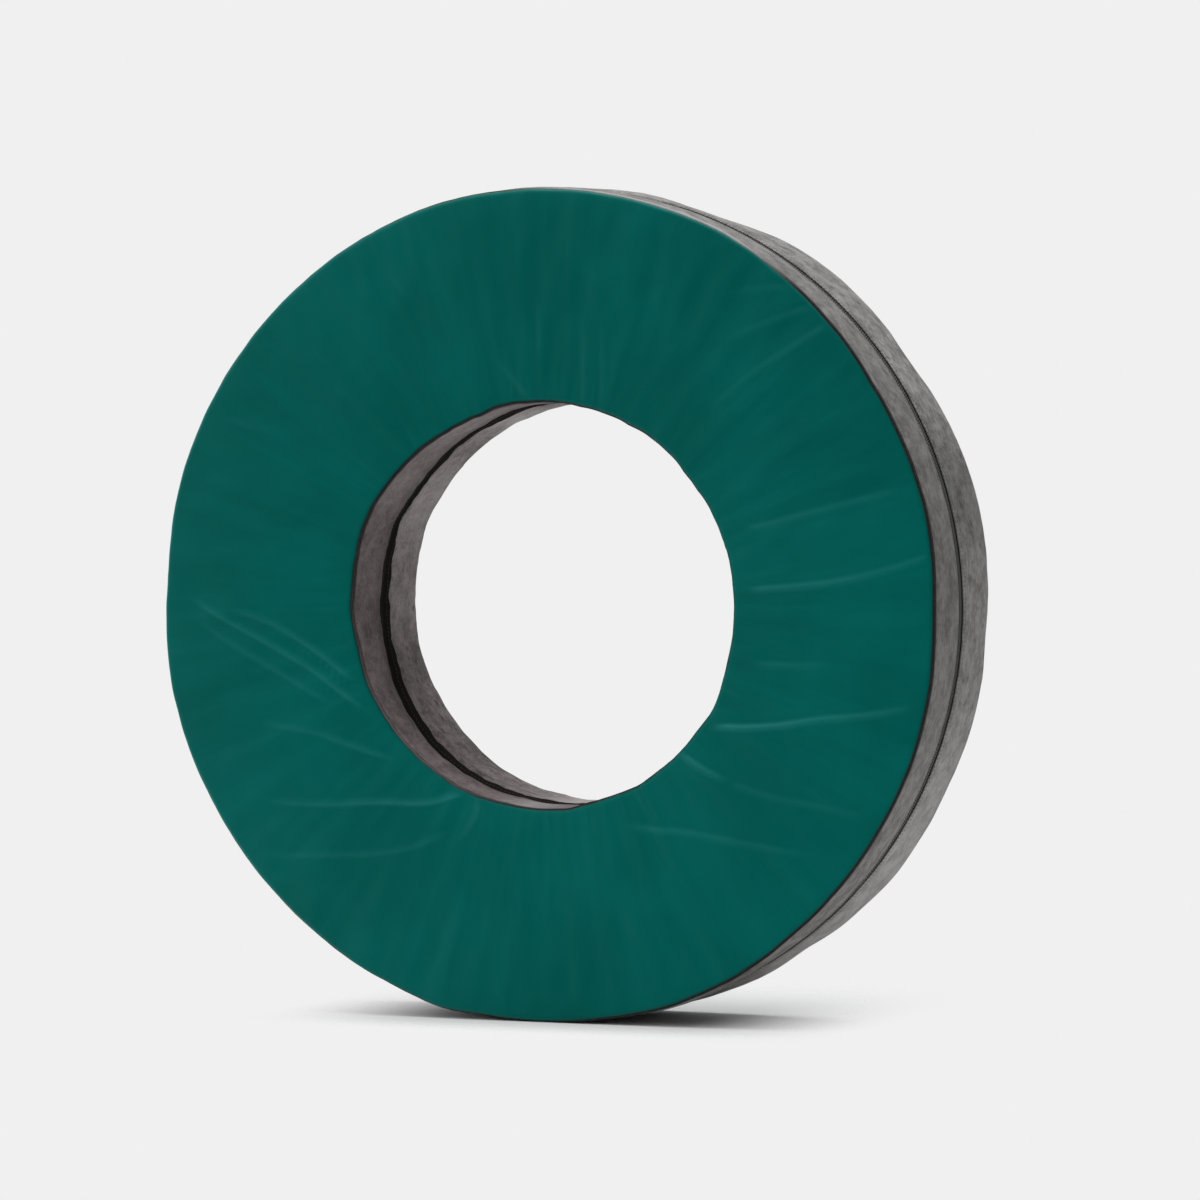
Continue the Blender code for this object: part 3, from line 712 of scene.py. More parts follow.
def slipped(radius, angle, front):
    """Moves a point round its rounded edge by the seam's slip, along the cloth."""
    side = side_of(front)
    edge = "rim" if radius > foam_core else "bore"
    corner, outward = rounded_edges[edge]
    out = outward * (radius - corner[0])
    ahead = abs(front) - corner[1]
    if min(out, ahead) < -slip_end:
        return radius, front
    bend = corner_radius * math.pi / 2
    if out < 0:
        along, height = out, ahead
    elif ahead < 0:
        along, height = bend - ahead, out
    else:
        along, height = corner_radius * math.atan2(out, ahead), math.hypot(out, ahead)
    seam = corner_radius * seam_turns[edge, side]
    along += seam_slip(angle, edge, side) * bell(along - seam, slip_width)
    if along < 0:
        out, ahead = along, height
    elif along > bend:
        out, ahead = height, bend - along
    else:
        turn = along / corner_radius
        out, ahead = height * math.sin(turn), height * math.cos(turn)
    return corner[0] + outward * out, side * (corner[1] + ahead)


def swelling_between(angle, rear_swells, front_swells, to_front):
    """The swelling between the rear face's and the front face's."""
    return swelling(angle, rear_swells) * (1 - to_front) + swelling(angle, front_swells) * to_front


def wander(radius, angle, front):
    """Moves a point as the uneven ring does: at the rim, at the bore and between them."""
    radius, front = slipped(radius, angle, front)
    to_front = smooth_step(-half_width, half_width, front)
    off_zip = smooth_step(0.020, 0.075, abs(front))
    rim = swelling_between(angle, rear_rim_swells, front_rim_swells, to_front)
    bore = swelling_between(angle, rear_bore_swells, front_bore_swells, to_front)
    bore += 0.0013 * ripple(angle, 78, 12.5 + 5 * to_front) - 0.0014
    rim += 0.0006 * ripple(angle, 120, 3.5 + 5 * to_front) + 0.0012
    rim_share = smooth_step(foam_core, rim_corner[0], radius) * off_zip * off_floor(angle)
    bore_share = 1 - smooth_step(bore_corner[0], foam_core, radius)
    return radius + rim * rim_share + bore * bore_share, front


def rest_on_floor(work, reach=0.0):
    """Presses the lowest points flat at a reach above the floor, as the wheel's weight does."""
    for dot in work.verts:
        dot.co.z = max(dot.co.z, floor_height + reach)


print("a swell at 257 degrees: %.1f mm" % (1000 * swelling(math.radians(257), front_rim_swells)))


# %% [markdown]
# ## Creases in a face
#
# The cover is drawn tight from seam to seam, and pulls into creases where the stitching gathers it. A
# crease is nearly radial, so it is written as its angle at a few shares of the way from the bore's seam
# to the rim's, with how strong it is at its start and at its end. The main ones are listed one by one,
# and many faint short ones start at both seams from a seeded list. Near a crease each point of the face
# gets its distance to one side of it, for the shape here and for the line that the vinyl draws. Where
# two creases come close, each fades out half way to the other, so that no line jumps between them.

# %% The creases
front_creases = (
    (0.55, 0.30, (5, 0.07), (5.2, 0.48), (6.2, 0.75), (7.5, 0.98)),
    (0.85, 0.30, (-32, 0.03), (-29.6, 0.11), (-24.4, 0.32), (-19.8, 0.52), (-16.2, 0.76),
     (-13.2, 0.97)),
    (0.70, 0.30, (-43.5, 0.01), (-42.4, 0.12), (-40, 0.28)),
    (0.25, 0.15, (-40, 0.28), (-37, 0.47), (-33, 0.71), (-30, 0.96)),
    (0.32, 0.15, (-13, 0.13), (-9.5, 0.53)),
    (0.35, 0.25, (20, 0.12), (19, 0.28), (17.5, 0.94)),
    (0.38, 0.18, (-65.5, 0.14), (-55, 0.30), (-46.5, 0.54), (-40, 0.82)),
    (0.42, 0.36, (209, 0.04), (206, 0.07), (196, 0.22), (189, 0.41), (183.5, 0.65), (179.5, 0.88)),
    (0.45, 0.25, (200, 0.04), (191, 0.20), (184.5, 0.40), (181, 0.65)),
    (0.38, 0.20, (223.5, 0.07), (215.5, 0.19), (208, 0.34), (201, 0.62)),
    (0.28, 0.22, (203, 0.20), (193, 0.44), (182.3, 0.85)),
    (0.24, 0.24, (246, 0.20), (240, 0.36), (228, 0.66), (220, 0.94)),
    (0.62, 0.22, (245, 0.0), (242.5, 0.04), (239, 0.11), (229, 0.27), (221.5, 0.48), (213, 0.78)),
    (0.50, 0.20, (251, 0.0), (251.5, 0.06), (250.5, 0.16), (249, 0.23)),
    (0.10, 0.30, (53, 0.62), (48.5, 0.87), (46.5, 1.0)),
    (0.10, 0.30, (47.5, 0.27), (45.5, 0.62), (44, 0.82), (43, 1.0)),
    (0.10, 0.25, (57, 0.80), (51.5, 0.98)),
    (0.20, 0.10, (90, 0.19), (90, 0.48)),
    (0.20, 0.10, (77.5, 0.02), (81, 0.42)),
    (0.20, 0.10, (72.5, 0.04), (77, 0.42)),
    (0.25, 0.10, (95, 0.02), (102.5, 0.25)),
    (0.10, 0.20, (149.5, 0.63), (152, 0.94)),
    (0.10, 0.20, (115, 0.65), (116.5, 0.82)),
)
rear_creases = (
    (0.80, 0.20, (8, 0.02), (12, 0.20), (24, 0.90)),
    (0.30, 0.10, (40, 0.10), (34, 0.95)),
    (0.50, 0.15, (58, 0.03), (50, 0.30), (44, 0.80)),
    (0.20, 0.10, (96, 0.05), (90, 0.60)),
    (0.90, 0.20, (118, 0.03), (123, 0.25), (131, 0.92)),
    (0.30, 0.10, (150, 0.05), (142, 0.75)),
    (0.50, 0.10, (170, 0.03), (158, 0.80)),
    (0.80, 0.20, (212, 0.02), (220, 0.30), (228, 0.90)),
    (0.60, 0.10, (262, 0.03), (255, 0.30), (249, 0.75)),
    (0.30, 0.10, (284, 0.05), (292, 0.60)),
    (0.80, 0.15, (318, 0.02), (324, 0.30), (331, 0.95)),
)
crease_height = 0.0016
crease_reach = 0.014
side_reach = 2.2 * crease_reach
near_degrees = 5


def short_pulls(seed):
    """Faint short creases, one every few degrees, from the bore's seam and from the rim's."""
    chance = random.Random(seed)
    pulls = []
    for index in range(66):
        angle = (index + chance.uniform(-0.28, 0.28)) * 360 / 66
        reach = chance.uniform(0.06, 0.20)
        level = chance.uniform(0.0, 0.17)
        pulls.append((level, 0.0, (angle, 0.0), (angle + chance.uniform(-3, 3), reach)))
    for index in range(58):
        angle = (index + chance.uniform(-0.28, 0.28)) * 360 / 58
        reach = chance.uniform(0.05, 0.16)
        level = chance.uniform(0.0, 0.11)
        pulls.append((0.0, level, (angle + chance.uniform(-1.5, 1.5), 1 - reach), (angle, 1.0)))
    return pulls


def crease_track(places):
    """The angle and slope, in radians, at each hundredth of the way out: smooth through its places."""
    track = {}
    for index, ((angle, share), (next_angle, next_share)) in enumerate(zip(places, places[1:])):
        before = places[max(0, index - 1)]
        after = places[min(len(places) - 1, index + 2)]
        run = next_share - share
        leave = (next_angle - before[0]) / (next_share - before[1]) * run
        arrive = (after[0] - angle) / (after[1] - share) * run
        bend = next_angle - angle
        square = 3 * bend - 2 * leave - arrive
        cube = leave + arrive - 2 * bend
        for step in range(round(100 * share), round(100 * next_share) + 1):
            t = clipped((step / 100 - share) / run)
            value = angle + leave * t + square * t ** 2 + cube * t ** 3
            slope = leave + 2 * square * t + 3 * cube * t ** 2
            track[step] = (math.radians(value), math.radians(slope / run))
    return track


def creases_by_degree(creases):
    """For each degree of the circle, the creases that pass near it."""
    near = [[] for _ in range(360)]
    for start_level, end_level, *places in creases:
        track = crease_track(places)
        angles = [math.degrees(angle) for angle, _ in track.values()]
        entry = (start_level, end_level, min(track), max(track), track)
        first = math.floor(min(angles)) - near_degrees
        last = math.ceil(max(angles)) + near_degrees
        for degree in range(first, last + 1):
            near[degree % 360].append(entry)
    return near


def crease_at(radius, angle, share, near):
    """Signed distance to the strongest crease near a place, and its level there.

    Where none is in reach, the distance keeps the nearest one's side and the level is 0.
    """
    best = (crease_reach, 0.0)
    weight = runner_up = 0.0
    nearest = side_reach
    step = 100 * share
    for start_level, end_level, low, high, track in near[math.floor(math.degrees(angle)) % 360]:
        if not low - 3 < step < high + 3:
            continue
        place = min(high, max(low, round(step)))
        centre, slope = track[place]
        centre += slope * (step - place) / 100
        apart = (angle - centre + math.pi) % math.tau - math.pi
        lean = radius * slope / (rim_corner[0] - bore_corner[0])
        side = apart * radius / math.sqrt(1 + lean * lean)
        if weight == 0.0 and abs(side) < nearest:
            nearest = abs(side)
            best = (math.copysign(crease_reach, side), 0.0)
        if abs(side) > crease_reach:
            continue
        along = clipped((step - low) / (high - low))
        level = start_level + (end_level - start_level) * along
        starts = 1.0 if low < 3 else smooth_step(low - 3, low + 6, step)
        ends = 1.0 if high > 97 else 1 - smooth_step(high - 12, high + 3, step)
        level *= starts * ends
        here = level * (1.02 - abs(side) / crease_reach)
        if here > weight:
            weight, runner_up = here, weight
            best = (side, level * (1 - smooth_step(0.0065, 0.0105, abs(side))))
        else:
            runner_up = max(runner_up, here)
    if weight > 0:
        best = (best[0], best[1] * smooth_step(0.05, 0.7, 1 - runner_up / weight))
    return best


def crease_lift(side, level, share):
    """Height share of a crease: a soft ridge, with a slight hollow at one side."""
    width = 0.0035 + 0.0030 * share
    return level * (bell(side, width) - 0.5 * bell(side - 1.7 * width, width))


print("creases: %d in front and %d behind" % (len(front_creases), len(rear_creases)))


# %% [markdown]
# ## The two face panels
#
# Each face is one ring of vinyl, cut a few millimetres too wide and sewn in all round. It starts as a
# coarse turned ring, which stops short of the welt and turns down beside it, as the cloth does where
# it goes into the seam. A finish needs to know where a seam is too, because shade is painted into the
# hollow beside the welt, and a highlight along the top of the rim.

# %% Where the seams are
tuck_depth = 0.0018
tuck_turn = 0.13


def seam_edge(edge, side):
    """The two angles at a rounded edge where the cloth stops short of the welt."""
    turn = seam_turns[edge, side]
    return turn - seam_stop, turn + seam_stop


def tucked(edge, turn):
    """The cloth's last point: turned down beside the welt."""
    return on_edge(edge, corner_radius - tuck_depth, turn)


def face_height(share):
    """The crown of a face between its seams, in front of the middle plane."""
    return half_width + 1.3 * face_crown * math.sin(math.pi * share) ** 0.65


def face_line(rows, side):
    bore_stop = seam_edge("bore", side)[0]
    rim_stop = seam_edge("rim", side)[0]
    line = [tucked("bore", bore_stop + tuck_turn)]
    line += arc("bore", corner_radius, bore_stop, 0.0, edge_steps)
    for share in stretch(0.0, 1.0, rows)[1:-1]:
        radius = bore_corner[0] + share * (rim_corner[0] - bore_corner[0])
        line.append((radius, face_height(share)))
    line += arc("rim", corner_radius, 0.0, rim_stop, edge_steps)
    line.append(tucked("rim", rim_stop + tuck_turn))
    return line


def seam_closeness(radius, front, edge, side):
    """1 beside the welt, 0 from 6 mm away. It says where shade is painted in the seam's hollow."""
    seam_radius, seam_front = on_edge(edge, corner_radius, seam_turns[edge, side])
    apart = math.hypot(radius - seam_radius, abs(front) - seam_front)
    return 1 - smooth_step(0.0020, 0.0062, apart)


def painted_top_highlight(angle):
    """1 along the top of the rim, where a highlight is painted on the seam and its painted shade fades.
    """
    return within(48, 62, 82, 100, math.degrees(angle) % 360)


def faded(angle):
    """1 at the lower left of the bore, where its front seam looks soft."""
    return swelling(angle, ((220, 30, 1.0),))


print("a face stands %.1f mm proud of its edges" % (1000 * (face_height(0.5) - half_width)))

# %% [markdown]
# ## Letting a face settle
#
# Vinyl that is cut a little too wide doesn't lie flat between its seams: the foam pushes it out, and it
# falls into shallow folds. A cloth simulation does the same. Both seams are held, the cut shape is a
# little wider than the room it has, and a slight pressure takes the place of the foam; no point may
# move more than a few millimetres. The result is written into the mesh, which is then subdivided once.
# The folds come before the creases, because a finer mesh would be slow to simulate and the creases
# need to stay where the seams pull them.

# %% Letting a face settle
face_rows = 20
spare_width = 0.004
settling_cap = 0.005
settling_frames = 20


def settled(work, side, seed):
    """Runs the cloth simulation on a face and writes its result into the bmesh."""
    start = [dot.co.copy() for dot in work.verts]
    places = [ring_place(dot.co) for dot in work.verts]
    for dot, (radius, angle, _) in zip(work.verts, places):
        lumps = noise.noise(Vector((14 * math.cos(angle), 14 * math.sin(angle), seed + 3 * radius)))
        dot.co.y -= side * 0.0013 * lumps
    mesh = bpy.data.meshes.new("settling")
    work.to_mesh(mesh)
    sheet = shown("settling", mesh)
    seams = sheet.vertex_groups.new(name="seams")
    held = [
        index for index, (radius, _, _) in enumerate(places)
        if not bore_corner[0] < radius < rim_corner[0]
    ]
    seams.add(held, 1.0, "REPLACE")
    sheet.shape_key_add(name="Basis")
    cut = sheet.shape_key_add(name="cut")
    for point, dot, (radius, angle, _) in zip(cut.data, work.verts, places):
        point.co = dot.co + spare_width * Vector((math.cos(angle), 0, math.sin(angle)))
    cloth = sheet.modifiers.new("cloth", "CLOTH")
    settings = cloth.settings
    settings.quality = 5
    settings.mass = 0.002
    settings.air_damping = 2.0
    settings.tension_stiffness = 8
    settings.compression_stiffness = 8
    settings.shear_stiffness = 2
    settings.bending_stiffness = 10
    settings.vertex_group_mass = seams.name
    settings.rest_shape_key = cut
    settings.use_pressure = True
    settings.uniform_pressure_force = 0.4
    settings.effector_weights.gravity = 0
    cloth.collision_settings.use_collision = False
    cloth.point_cache.frame_start = 1
    cloth.point_cache.frame_end = settling_frames
    for moment in range(1, settling_frames + 1):
        bpy.context.scene.frame_set(moment)
    result = sheet.evaluated_get(bpy.context.evaluated_depsgraph_get()).data
    furthest = 0.0
    for dot, point, origin in zip(work.verts, result.vertices, start):
        move = point.co - origin
        furthest = max(furthest, move.length)
        if move.length > settling_cap:
            move.length = settling_cap
        dot.co = origin + move
    bpy.data.objects.remove(sheet)
    bpy.data.meshes.remove(mesh)
    bpy.context.scene.frame_set(1)
    print("settled: the furthest point of the face moved %.1f mm" % (1000 * furthest))


def subdivided(work):
    """One level of smooth subdivision, written into the bmesh."""
    mesh = mesh_of("coarse", work)
    piece = shown("coarse", mesh)
    finer = piece.modifiers.new("finer", "SUBSURF")
    finer.levels = 1
    finer.render_levels = 1
    finer.boundary_smooth = "ALL"
    result = bmesh.new()
    result.from_mesh(piece.evaluated_get(bpy.context.evaluated_depsgraph_get()).data)
    bpy.data.objects.remove(piece)
    bpy.data.meshes.remove(mesh)
    return result


# %% [markdown]
# ## The panels themselves
#
# The settled sheet is shaped point by point. Each point gets its creases, the pucker of the stitches
# beside both seams, and the wander of the ring. The marks for the vinyl are worked out on the way,
# while each point's place between the seams is still known.

# %% The face panels
def face_panel(name, side, finish, node, creases):
    seed = 3.1 if side > 0 else 8.7
    main = creases_by_degree(creases)
    short = creases_by_degree(short_pulls(7 if side > 0 else 8))
    coarse = spun(flipped(face_line(face_rows, side), side), face_steps)
    settled(coarse, side, seed)
    work = subdivided(coarse)
    marks = {}
    for dot in work.verts:
        radius, angle, front = ring_place(dot.co)
        share = (radius - bore_corner[0]) / (rim_corner[0] - bore_corner[0])
        inside = within(-0.03, 0.03, 0.97, 1.03, share)
        aside, level = crease_at(radius, angle, share, main)
        pull_aside, pull_level = crease_at(radius, angle, share, short)
        lift = crease_lift(aside, level, share) + 0.7 * crease_lift(pull_aside, pull_level, share)
        # Painted shade beside both welts, faded where the top highlight is painted and at the lower left
        # of the bore.
        near_rim = seam_closeness(radius, front, "rim", side) * (1 - 0.85 * painted_top_highlight(angle))
        near_bore = seam_closeness(radius, front, "bore", side) * (1 - 0.45 * faded(angle))
        found = {
            "crease_distance": aside,
            "crease_level": level * inside,
            "pull_distance": pull_aside,
            "pull_level": pull_level * inside,
            "seam": near_rim + near_bore,
        }
        for mark, value in found.items():
            marks.setdefault(mark, []).append(value)
        bore_pull = math.exp(-max(0.0, share) / 0.05)
        rim_pull = math.exp(-max(0.0, 1 - share) / 0.04)
        pucker = bore_pull * ripple(angle, 110, seed) * 0.0010
        pucker += rim_pull * ripple(angle, 190, seed) * 0.0007
        height = abs(front) + crease_height * lift * inside + pucker * inside
        radius, front = wander(radius, angle, side * height)
        dot.co = on_ring(radius, angle, front)
    rest_on_floor(work, 0.0004)
    panel = new_piece(name, work, finish, [node])
    write_marks(panel, **marks)
    give_wall(panel, cloth_thickness)


face_panel("vinyl_face_front", 1, green_vinyl, "face_panel_front", front_creases)
face_panel("vinyl_face_rear", -1, rear_vinyl, "face_panel_rear", rear_creases)


# %% [markdown]
# ## The rim bands
#
# Two bands of grey cloth go round the rim, from the welts down to the zip. Each swells over the foam
# between its seams, and its inner edge is folded under where the zip is sewn to it. Light is painted on
# the cloth in some places, with a highlight beside the welt along the top, and shade is painted in
# others and beside its welt, so each point gets both as marks.

# %% The rim bands
hem = 0.0007
band_seeds = {1: 1.3, -1: 6.2}
# Painted light and painted shade on each rim band, as angle in degrees, half width and amount: darker at
# the right side, and the rear band lighter at its lower right.
rim_wear = {1: ((64, 8, 0.06), (340, 8, 0.05)), -1: ((322, 22, 0.24), (300, 8, 0.18))}
rim_painted_shade = {1: ((22, 20, 0.13), (3, 8, 0.08), (299, 5, 0.30)), -1: ((17, 9, 0.36), (52, 8, 0.10))}


def band_radius(front):
    """Radius of a rim band's outer face at a distance from the middle plane."""
    across = abs(front)
    if across < crown_place:
        share = (across - slot_half) / (crown_place - slot_half)
        return slot_radius + (crown_radius - slot_radius) * (1 - (1 - max(0.0, share)) ** 1.7)
    share = (across - crown_place) / (rim_corner[1] - crown_place)
    return crown_radius - (crown_radius - shell_radius) * min(1.0, share) ** 2


def band_lump(angle, front):
    """The cloth's own slack: broad lumps, and fine gathers next to the seams."""
    across = abs(front)
    seed = band_seeds[side_of(front)]
    open_cloth = within(slot_half, 0.035, 0.090, 0.108, across)
    broad = 0.5 + 0.5 * ripple(angle, 44, seed + front * 9)
    near_welt = within(0.075, 0.104, 0.104, 0.110, across)
    near_zip = 1 - smooth_step(0.010, 0.030, across)
    fine = ripple(angle, 230, seed) * 0.0007 * near_welt
    fine += ripple(angle, 300, seed + 4) * 0.0003 * near_zip
    return off_floor(angle) * (0.0019 * broad * open_cloth + fine)


def lumpy(radius, angle, front):
    return radius + band_lump(angle, front), front


def rim_marks(work, side):
    """Where light is painted on the cloth of a rim band, and where shade is painted."""
    painted_paling, dark = [], []
    for dot in work.verts:
        radius, angle, front = ring_place(dot.co)
        near = seam_closeness(radius, front, "rim", side)
        painted_paling.append(swelling(angle, rim_wear[side]) + 0.5 * near * painted_top_highlight(angle))
        dark.append(swelling(angle, rim_painted_shade[side]) + near * (1 - 0.85 * painted_top_highlight(angle)))
    return painted_paling, dark


def rim_band(name, side, node):
    rim_stop = seam_edge("rim", side)[1]
    line = [tucked("rim", rim_stop - tuck_turn)]
    line += arc("rim", corner_radius, rim_stop, math.pi / 2, edge_steps)
    for front in stretch(rim_corner[1], slot_half, 30)[1:]:
        line.append((band_radius(front), front))
    for angle in (0.33 * math.pi, 0.66 * math.pi, math.pi):
        line.append((slot_radius - hem + hem * math.cos(angle), slot_half - hem * math.sin(angle)))
    work = spun(flipped(line, side), band_steps)
    painted_paling, dark = rim_marks(work, side)
    moved(work, lumpy, wander)
    rest_on_floor(work)
    band = new_piece(name, work, grey_cloth if side > 0 else rear_cloth_painted_lighter, [node])
    write_marks(band, wear=painted_paling, seam=dark)
    give_wall(band, cloth_thickness / 2)


rim_band("cloth_band_front", 1, "rim_band_front")
rim_band("cloth_band_rear", -1, "rim_band_rear")


# %% [markdown]
# ## The bore bands and the gathered seam
#
# The bore is lined by two more bands. They are drawn together into one seam near the middle and bound
# with a black tape, which puckers the cloth on both sides of it: the edge of the groove is scalloped.
# The seam isn't a true circle either. It sways to the front and to the back, and is deeper where it
# comes to the front. These bands get painted highlights too, painted shade in front of the seam and
# beside the welts, and darker patches at the lower left.

# %% The bore bands
seam_gap = 0.0006
seam_sways = ((224, 24, 0.0130), (140, 18, -0.0070), (107, 9, 0.0070))
seam_depths = ((224, 24, 0.0060), (140, 18, -0.0025), (107, 9, 0.0025))
# Painted highlights on each bore band, where light falls at the upper left and on the bottom of the bore:
# angle, half width and amount.
bore_wear = {
    1: ((118, 12, 0.16), (144, 12, 0.13), (171, 8, 0.05), (264, 7, 0.30)),
    -1: ((112, 9, 0.40), (150, 16, 0.28), (180, 12, 0.14), (268, 8, 0.50)),
}
# Darker at the lower left of the bore.
bore_darker_lower_left = {1: ((215, 18, 0.10),), -1: ((200, 7, 0.26), (230, 9, 0.26), (214, 6, 0.08))}


def groove_sink(share):
    """How deep the groove of the seam is, at a share of its half width."""
    return (1 - smooth_step(0.0, 1.0, share)) * groove_depth


def gather(angle, side):
    """How far the groove's edge is puckered: -1 to 1, in small uneven scallops."""
    seed = 2.2 if side > 0 else 5.9
    return 0.6 * ripple(angle, 130, seed) + 0.5 * ripple(angle, 56, seed + 3)


def gathered(radius, angle, front):
    """Moves a point of a bore band by its gathers and its slack."""
    across = abs(front)
    at_edge = bell(across - groove_half, 0.010)
    in_groove = 1 - smooth_step(0.004, groove_half, across)
    side = side_of(front)
    wave = gather(angle, side)
    near_welt = within(0.070, 0.104, 0.105, 0.111, across)
    welt_wave = ripple(angle, 120, 11.0 + side) * 0.0012 * near_welt
    slack = 0.0008 * ripple(angle, 34, 20 + front * 8) * smooth_step(0.02, 0.05, across)
    return radius - 0.0014 * wave * at_edge - 0.0008 * wave * in_groove - welt_wave - slack, front


def swayed(radius, angle, front):
    """Moves the gathered seam off its circle, and what is next to it a little less."""
    in_bore = 1 - smooth_step(bore_radius + 0.020, bore_radius + 0.090, radius)
    deeper = swelling(angle, seam_depths) * (1 - smooth_step(0.002, 0.034, abs(front)))
    forwards = swelling(angle, seam_sways) * (1 - smooth_step(0.016, 0.082, abs(front)))
    return radius + deeper * in_bore, front + forwards * in_bore


def bore_marks(work, side):
    """The same for a bore band, which also gets painted shade in front of the gathered seam, and darker
    patches at the lower left.
    """
    painted_paling, dark = [], []
    for dot in work.verts:
        radius, angle, front = ring_place(dot.co)
        # Painted shade in front of the gathered seam, deepest at the upper left.
        shade = 0.42 + 0.30 * swelling(angle, ((108, 14, 1.0),))
        beside = shade * (1 - smooth_step(0.010, 0.048, front)) if side > 0 else 0.0
        painted_paling.append(swelling(angle, bore_wear[side]))
        near = seam_closeness(radius, front, "bore", side) * (1 - 0.60 * faded(angle))
        dark.append(swelling(angle, bore_darker_lower_left[side]) + beside + near)
    return painted_paling, dark


def bore_band(name, side, node):
    line = []
    for share in stretch(0.0, 1.0, 8):
        line.append((bore_radius + groove_sink(share), seam_gap + share * (groove_half - seam_gap)))
    for front in stretch(groove_half, bore_corner[1], 20)[1:]:
        line.append((bore_radius, front))
    bore_stop = seam_edge("bore", side)[1]
    line += arc("bore", corner_radius, math.pi / 2, bore_stop, edge_steps)[1:]
    line.append(tucked("bore", bore_stop - tuck_turn))
    work = spun(flipped(line, side), band_steps)
    painted_paling, dark = bore_marks(work, side)
    moved(work, gathered, swayed, wander)
    finish = bore_cloth_painted_darker if side > 0 else bore_rear_cloth_painted_lighter
    band = new_piece(name, work, finish, [node])
    write_marks(band, wear=painted_paling, seam=dark)
    give_wall(band, cloth_thickness)


bore_band("cloth_bore_front", 1, "bore_band_front")
bore_band("cloth_bore_rear", -1, "bore_band_rear")


# %% [markdown]
# ## The binding
#
# A black tape is sewn over the raw edges of the gathered seam. It follows the groove, and its edges
# wander where the gathers push them, more in the lower left part, where the tape was laid wider.

# %% The binding over the bore's seam
binding_half = 0.0140
binding_lift = 0.0011
binding_wall = 0.0009
binding_widths = ((222, 26, 0.0030), (153, 12, -0.0050), (132, 10, -0.0015), (108, 9, 0.0060))


def binding_reach(angle, side):
    """How wide the tape lies to one side of the seam."""
    uneven = 0.0024 * ripple(angle, 70, 31.0 + 4 * side) + 0.0012 * ripple(angle, 170, 36.0 + side)
    return binding_half + swelling(angle, binding_widths) + uneven


def bore_binding():
    line = []
    for front in stretch(-binding_half, binding_half, 16):
        bead = 0.0010 * bell(front, 0.0018)
        sink = groove_sink(abs(front) / groove_half)
        line.append((bore_radius + sink - binding_lift - bead, front))

    def pulled(radius, angle, front):
        side = side_of(front)
        edge = smooth_step(0.004, binding_half, abs(front))
        reach = 1 + (binding_reach(angle, side) / binding_half - 1) * edge
        sink = groove_sink(abs(front) * reach / groove_half)
        plain = groove_sink(abs(front) / groove_half)
        return radius + sink - plain - 0.0012 * gather(angle, side) * edge, front * reach

    work = spun(line, cord_steps)
    moved(work, pulled, swayed, wander)
    tape = new_piece("seam_binding_tape", work, black_binding, ["bore_seam_binding"])
    give_wall(tape, binding_wall)


bore_binding()


# %% [markdown]
# ## Welts
#
# A welt is a cord in a folded strip of black vinyl, sewn into the seam between a face and a band. It
# is a circle turned round the axis. It wanders with the edge that it is sewn into, and the stitches
# pinch it a little. The front rim welt has a highlight painted along the top, the front bore welt is
# painted a little paler at its lower left, and the two front ones lie deeper on one side.

# %% The four welts
welt_sides = 12
buried = 0.0008
bore_welt_swells = ((155, 24, 0.40), (142, 6, -0.40), (118, 4, -0.20), (212, 26, -0.22))


def welt_fullness(angle, edge, side):
    """The front bore welt stands proud at the upper left and is half buried at the lower left."""
    if (edge, side) == ("rim", 1):
        return 1 - 0.14 * left_half(angle)
    if (edge, side) == ("bore", 1):
        return 1 + swelling(angle, bore_welt_swells) - 0.14 * (1 - left_half(angle))
    return 1.0


def welt_wear(angle, edge, side):
    """How far a front welt is painted pale: a painted highlight along the top of the rim, and a little
    paler at the lower left of the bore.
    """
    if side < 0:
        return 0.0
    return 0.55 * painted_top_highlight(angle) if edge == "rim" else 0.13 * faded(angle)


def welt(name, edge, side, node, seed):
    outward = rounded_edges[edge][1]
    tilt = seam_turns[edge, side]
    middle, ahead = on_edge(edge, corner_radius - welt_sink, tilt)
    ahead *= side
    line = []
    for index in range(welt_sides):
        turn = math.tau * index / welt_sides
        line.append((middle + welt_radius * math.cos(turn), ahead + welt_radius * math.sin(turn)))
    work = spun(line, cord_steps, closed=True)

    def pinched(radius, angle, front):
        thick = welt_fullness(angle, edge, side)
        thick += 0.12 * ripple(angle, 260, seed) + 0.10 * ripple(angle, 70, seed + 6)
        lean = 0.0004 * ripple(angle, 120, seed + 2)
        sunk = 0.0
        if side > 0:
            sunk = buried * (left_half(angle) if edge == "rim" else 1 - left_half(angle))
        radius = middle - outward * sunk * math.sin(tilt) + (radius - middle) * thick + outward * lean
        return radius, ahead - side * sunk * math.cos(tilt) + (front - ahead) * thick

    painted_paling = [welt_wear(ring_place(dot.co)[1], edge, side) for dot in work.verts]
    moved(work, pinched, wander)
    agreed(work)
    rest_on_floor(work)
    cord = new_piece(name, work, black_piping, [node])
    write_marks(cord, wear=painted_paling)


welt("piping_rim_front", "rim", 1, "rim_welt_front", 1.0)
welt("piping_rim_rear", "rim", -1, "rim_welt_rear", 4.0)
welt("piping_bore_front", "bore", 1, "bore_welt_front", 7.0)
welt("piping_bore_rear", "bore", -1, "bore_welt_rear", 9.0)


# %% [markdown]
# ## The foam
#
# The cover holds two slabs of foam, glued back to back. They are hidden, but a reader who takes the
# model apart finds them, so they have round edges and the relief for the zip and the bore's seam.

# %% The foam slabs
glue_line = 0.0002
foam_relief = 0.0038
foam_shoulder = (0.6019, 0.0225)


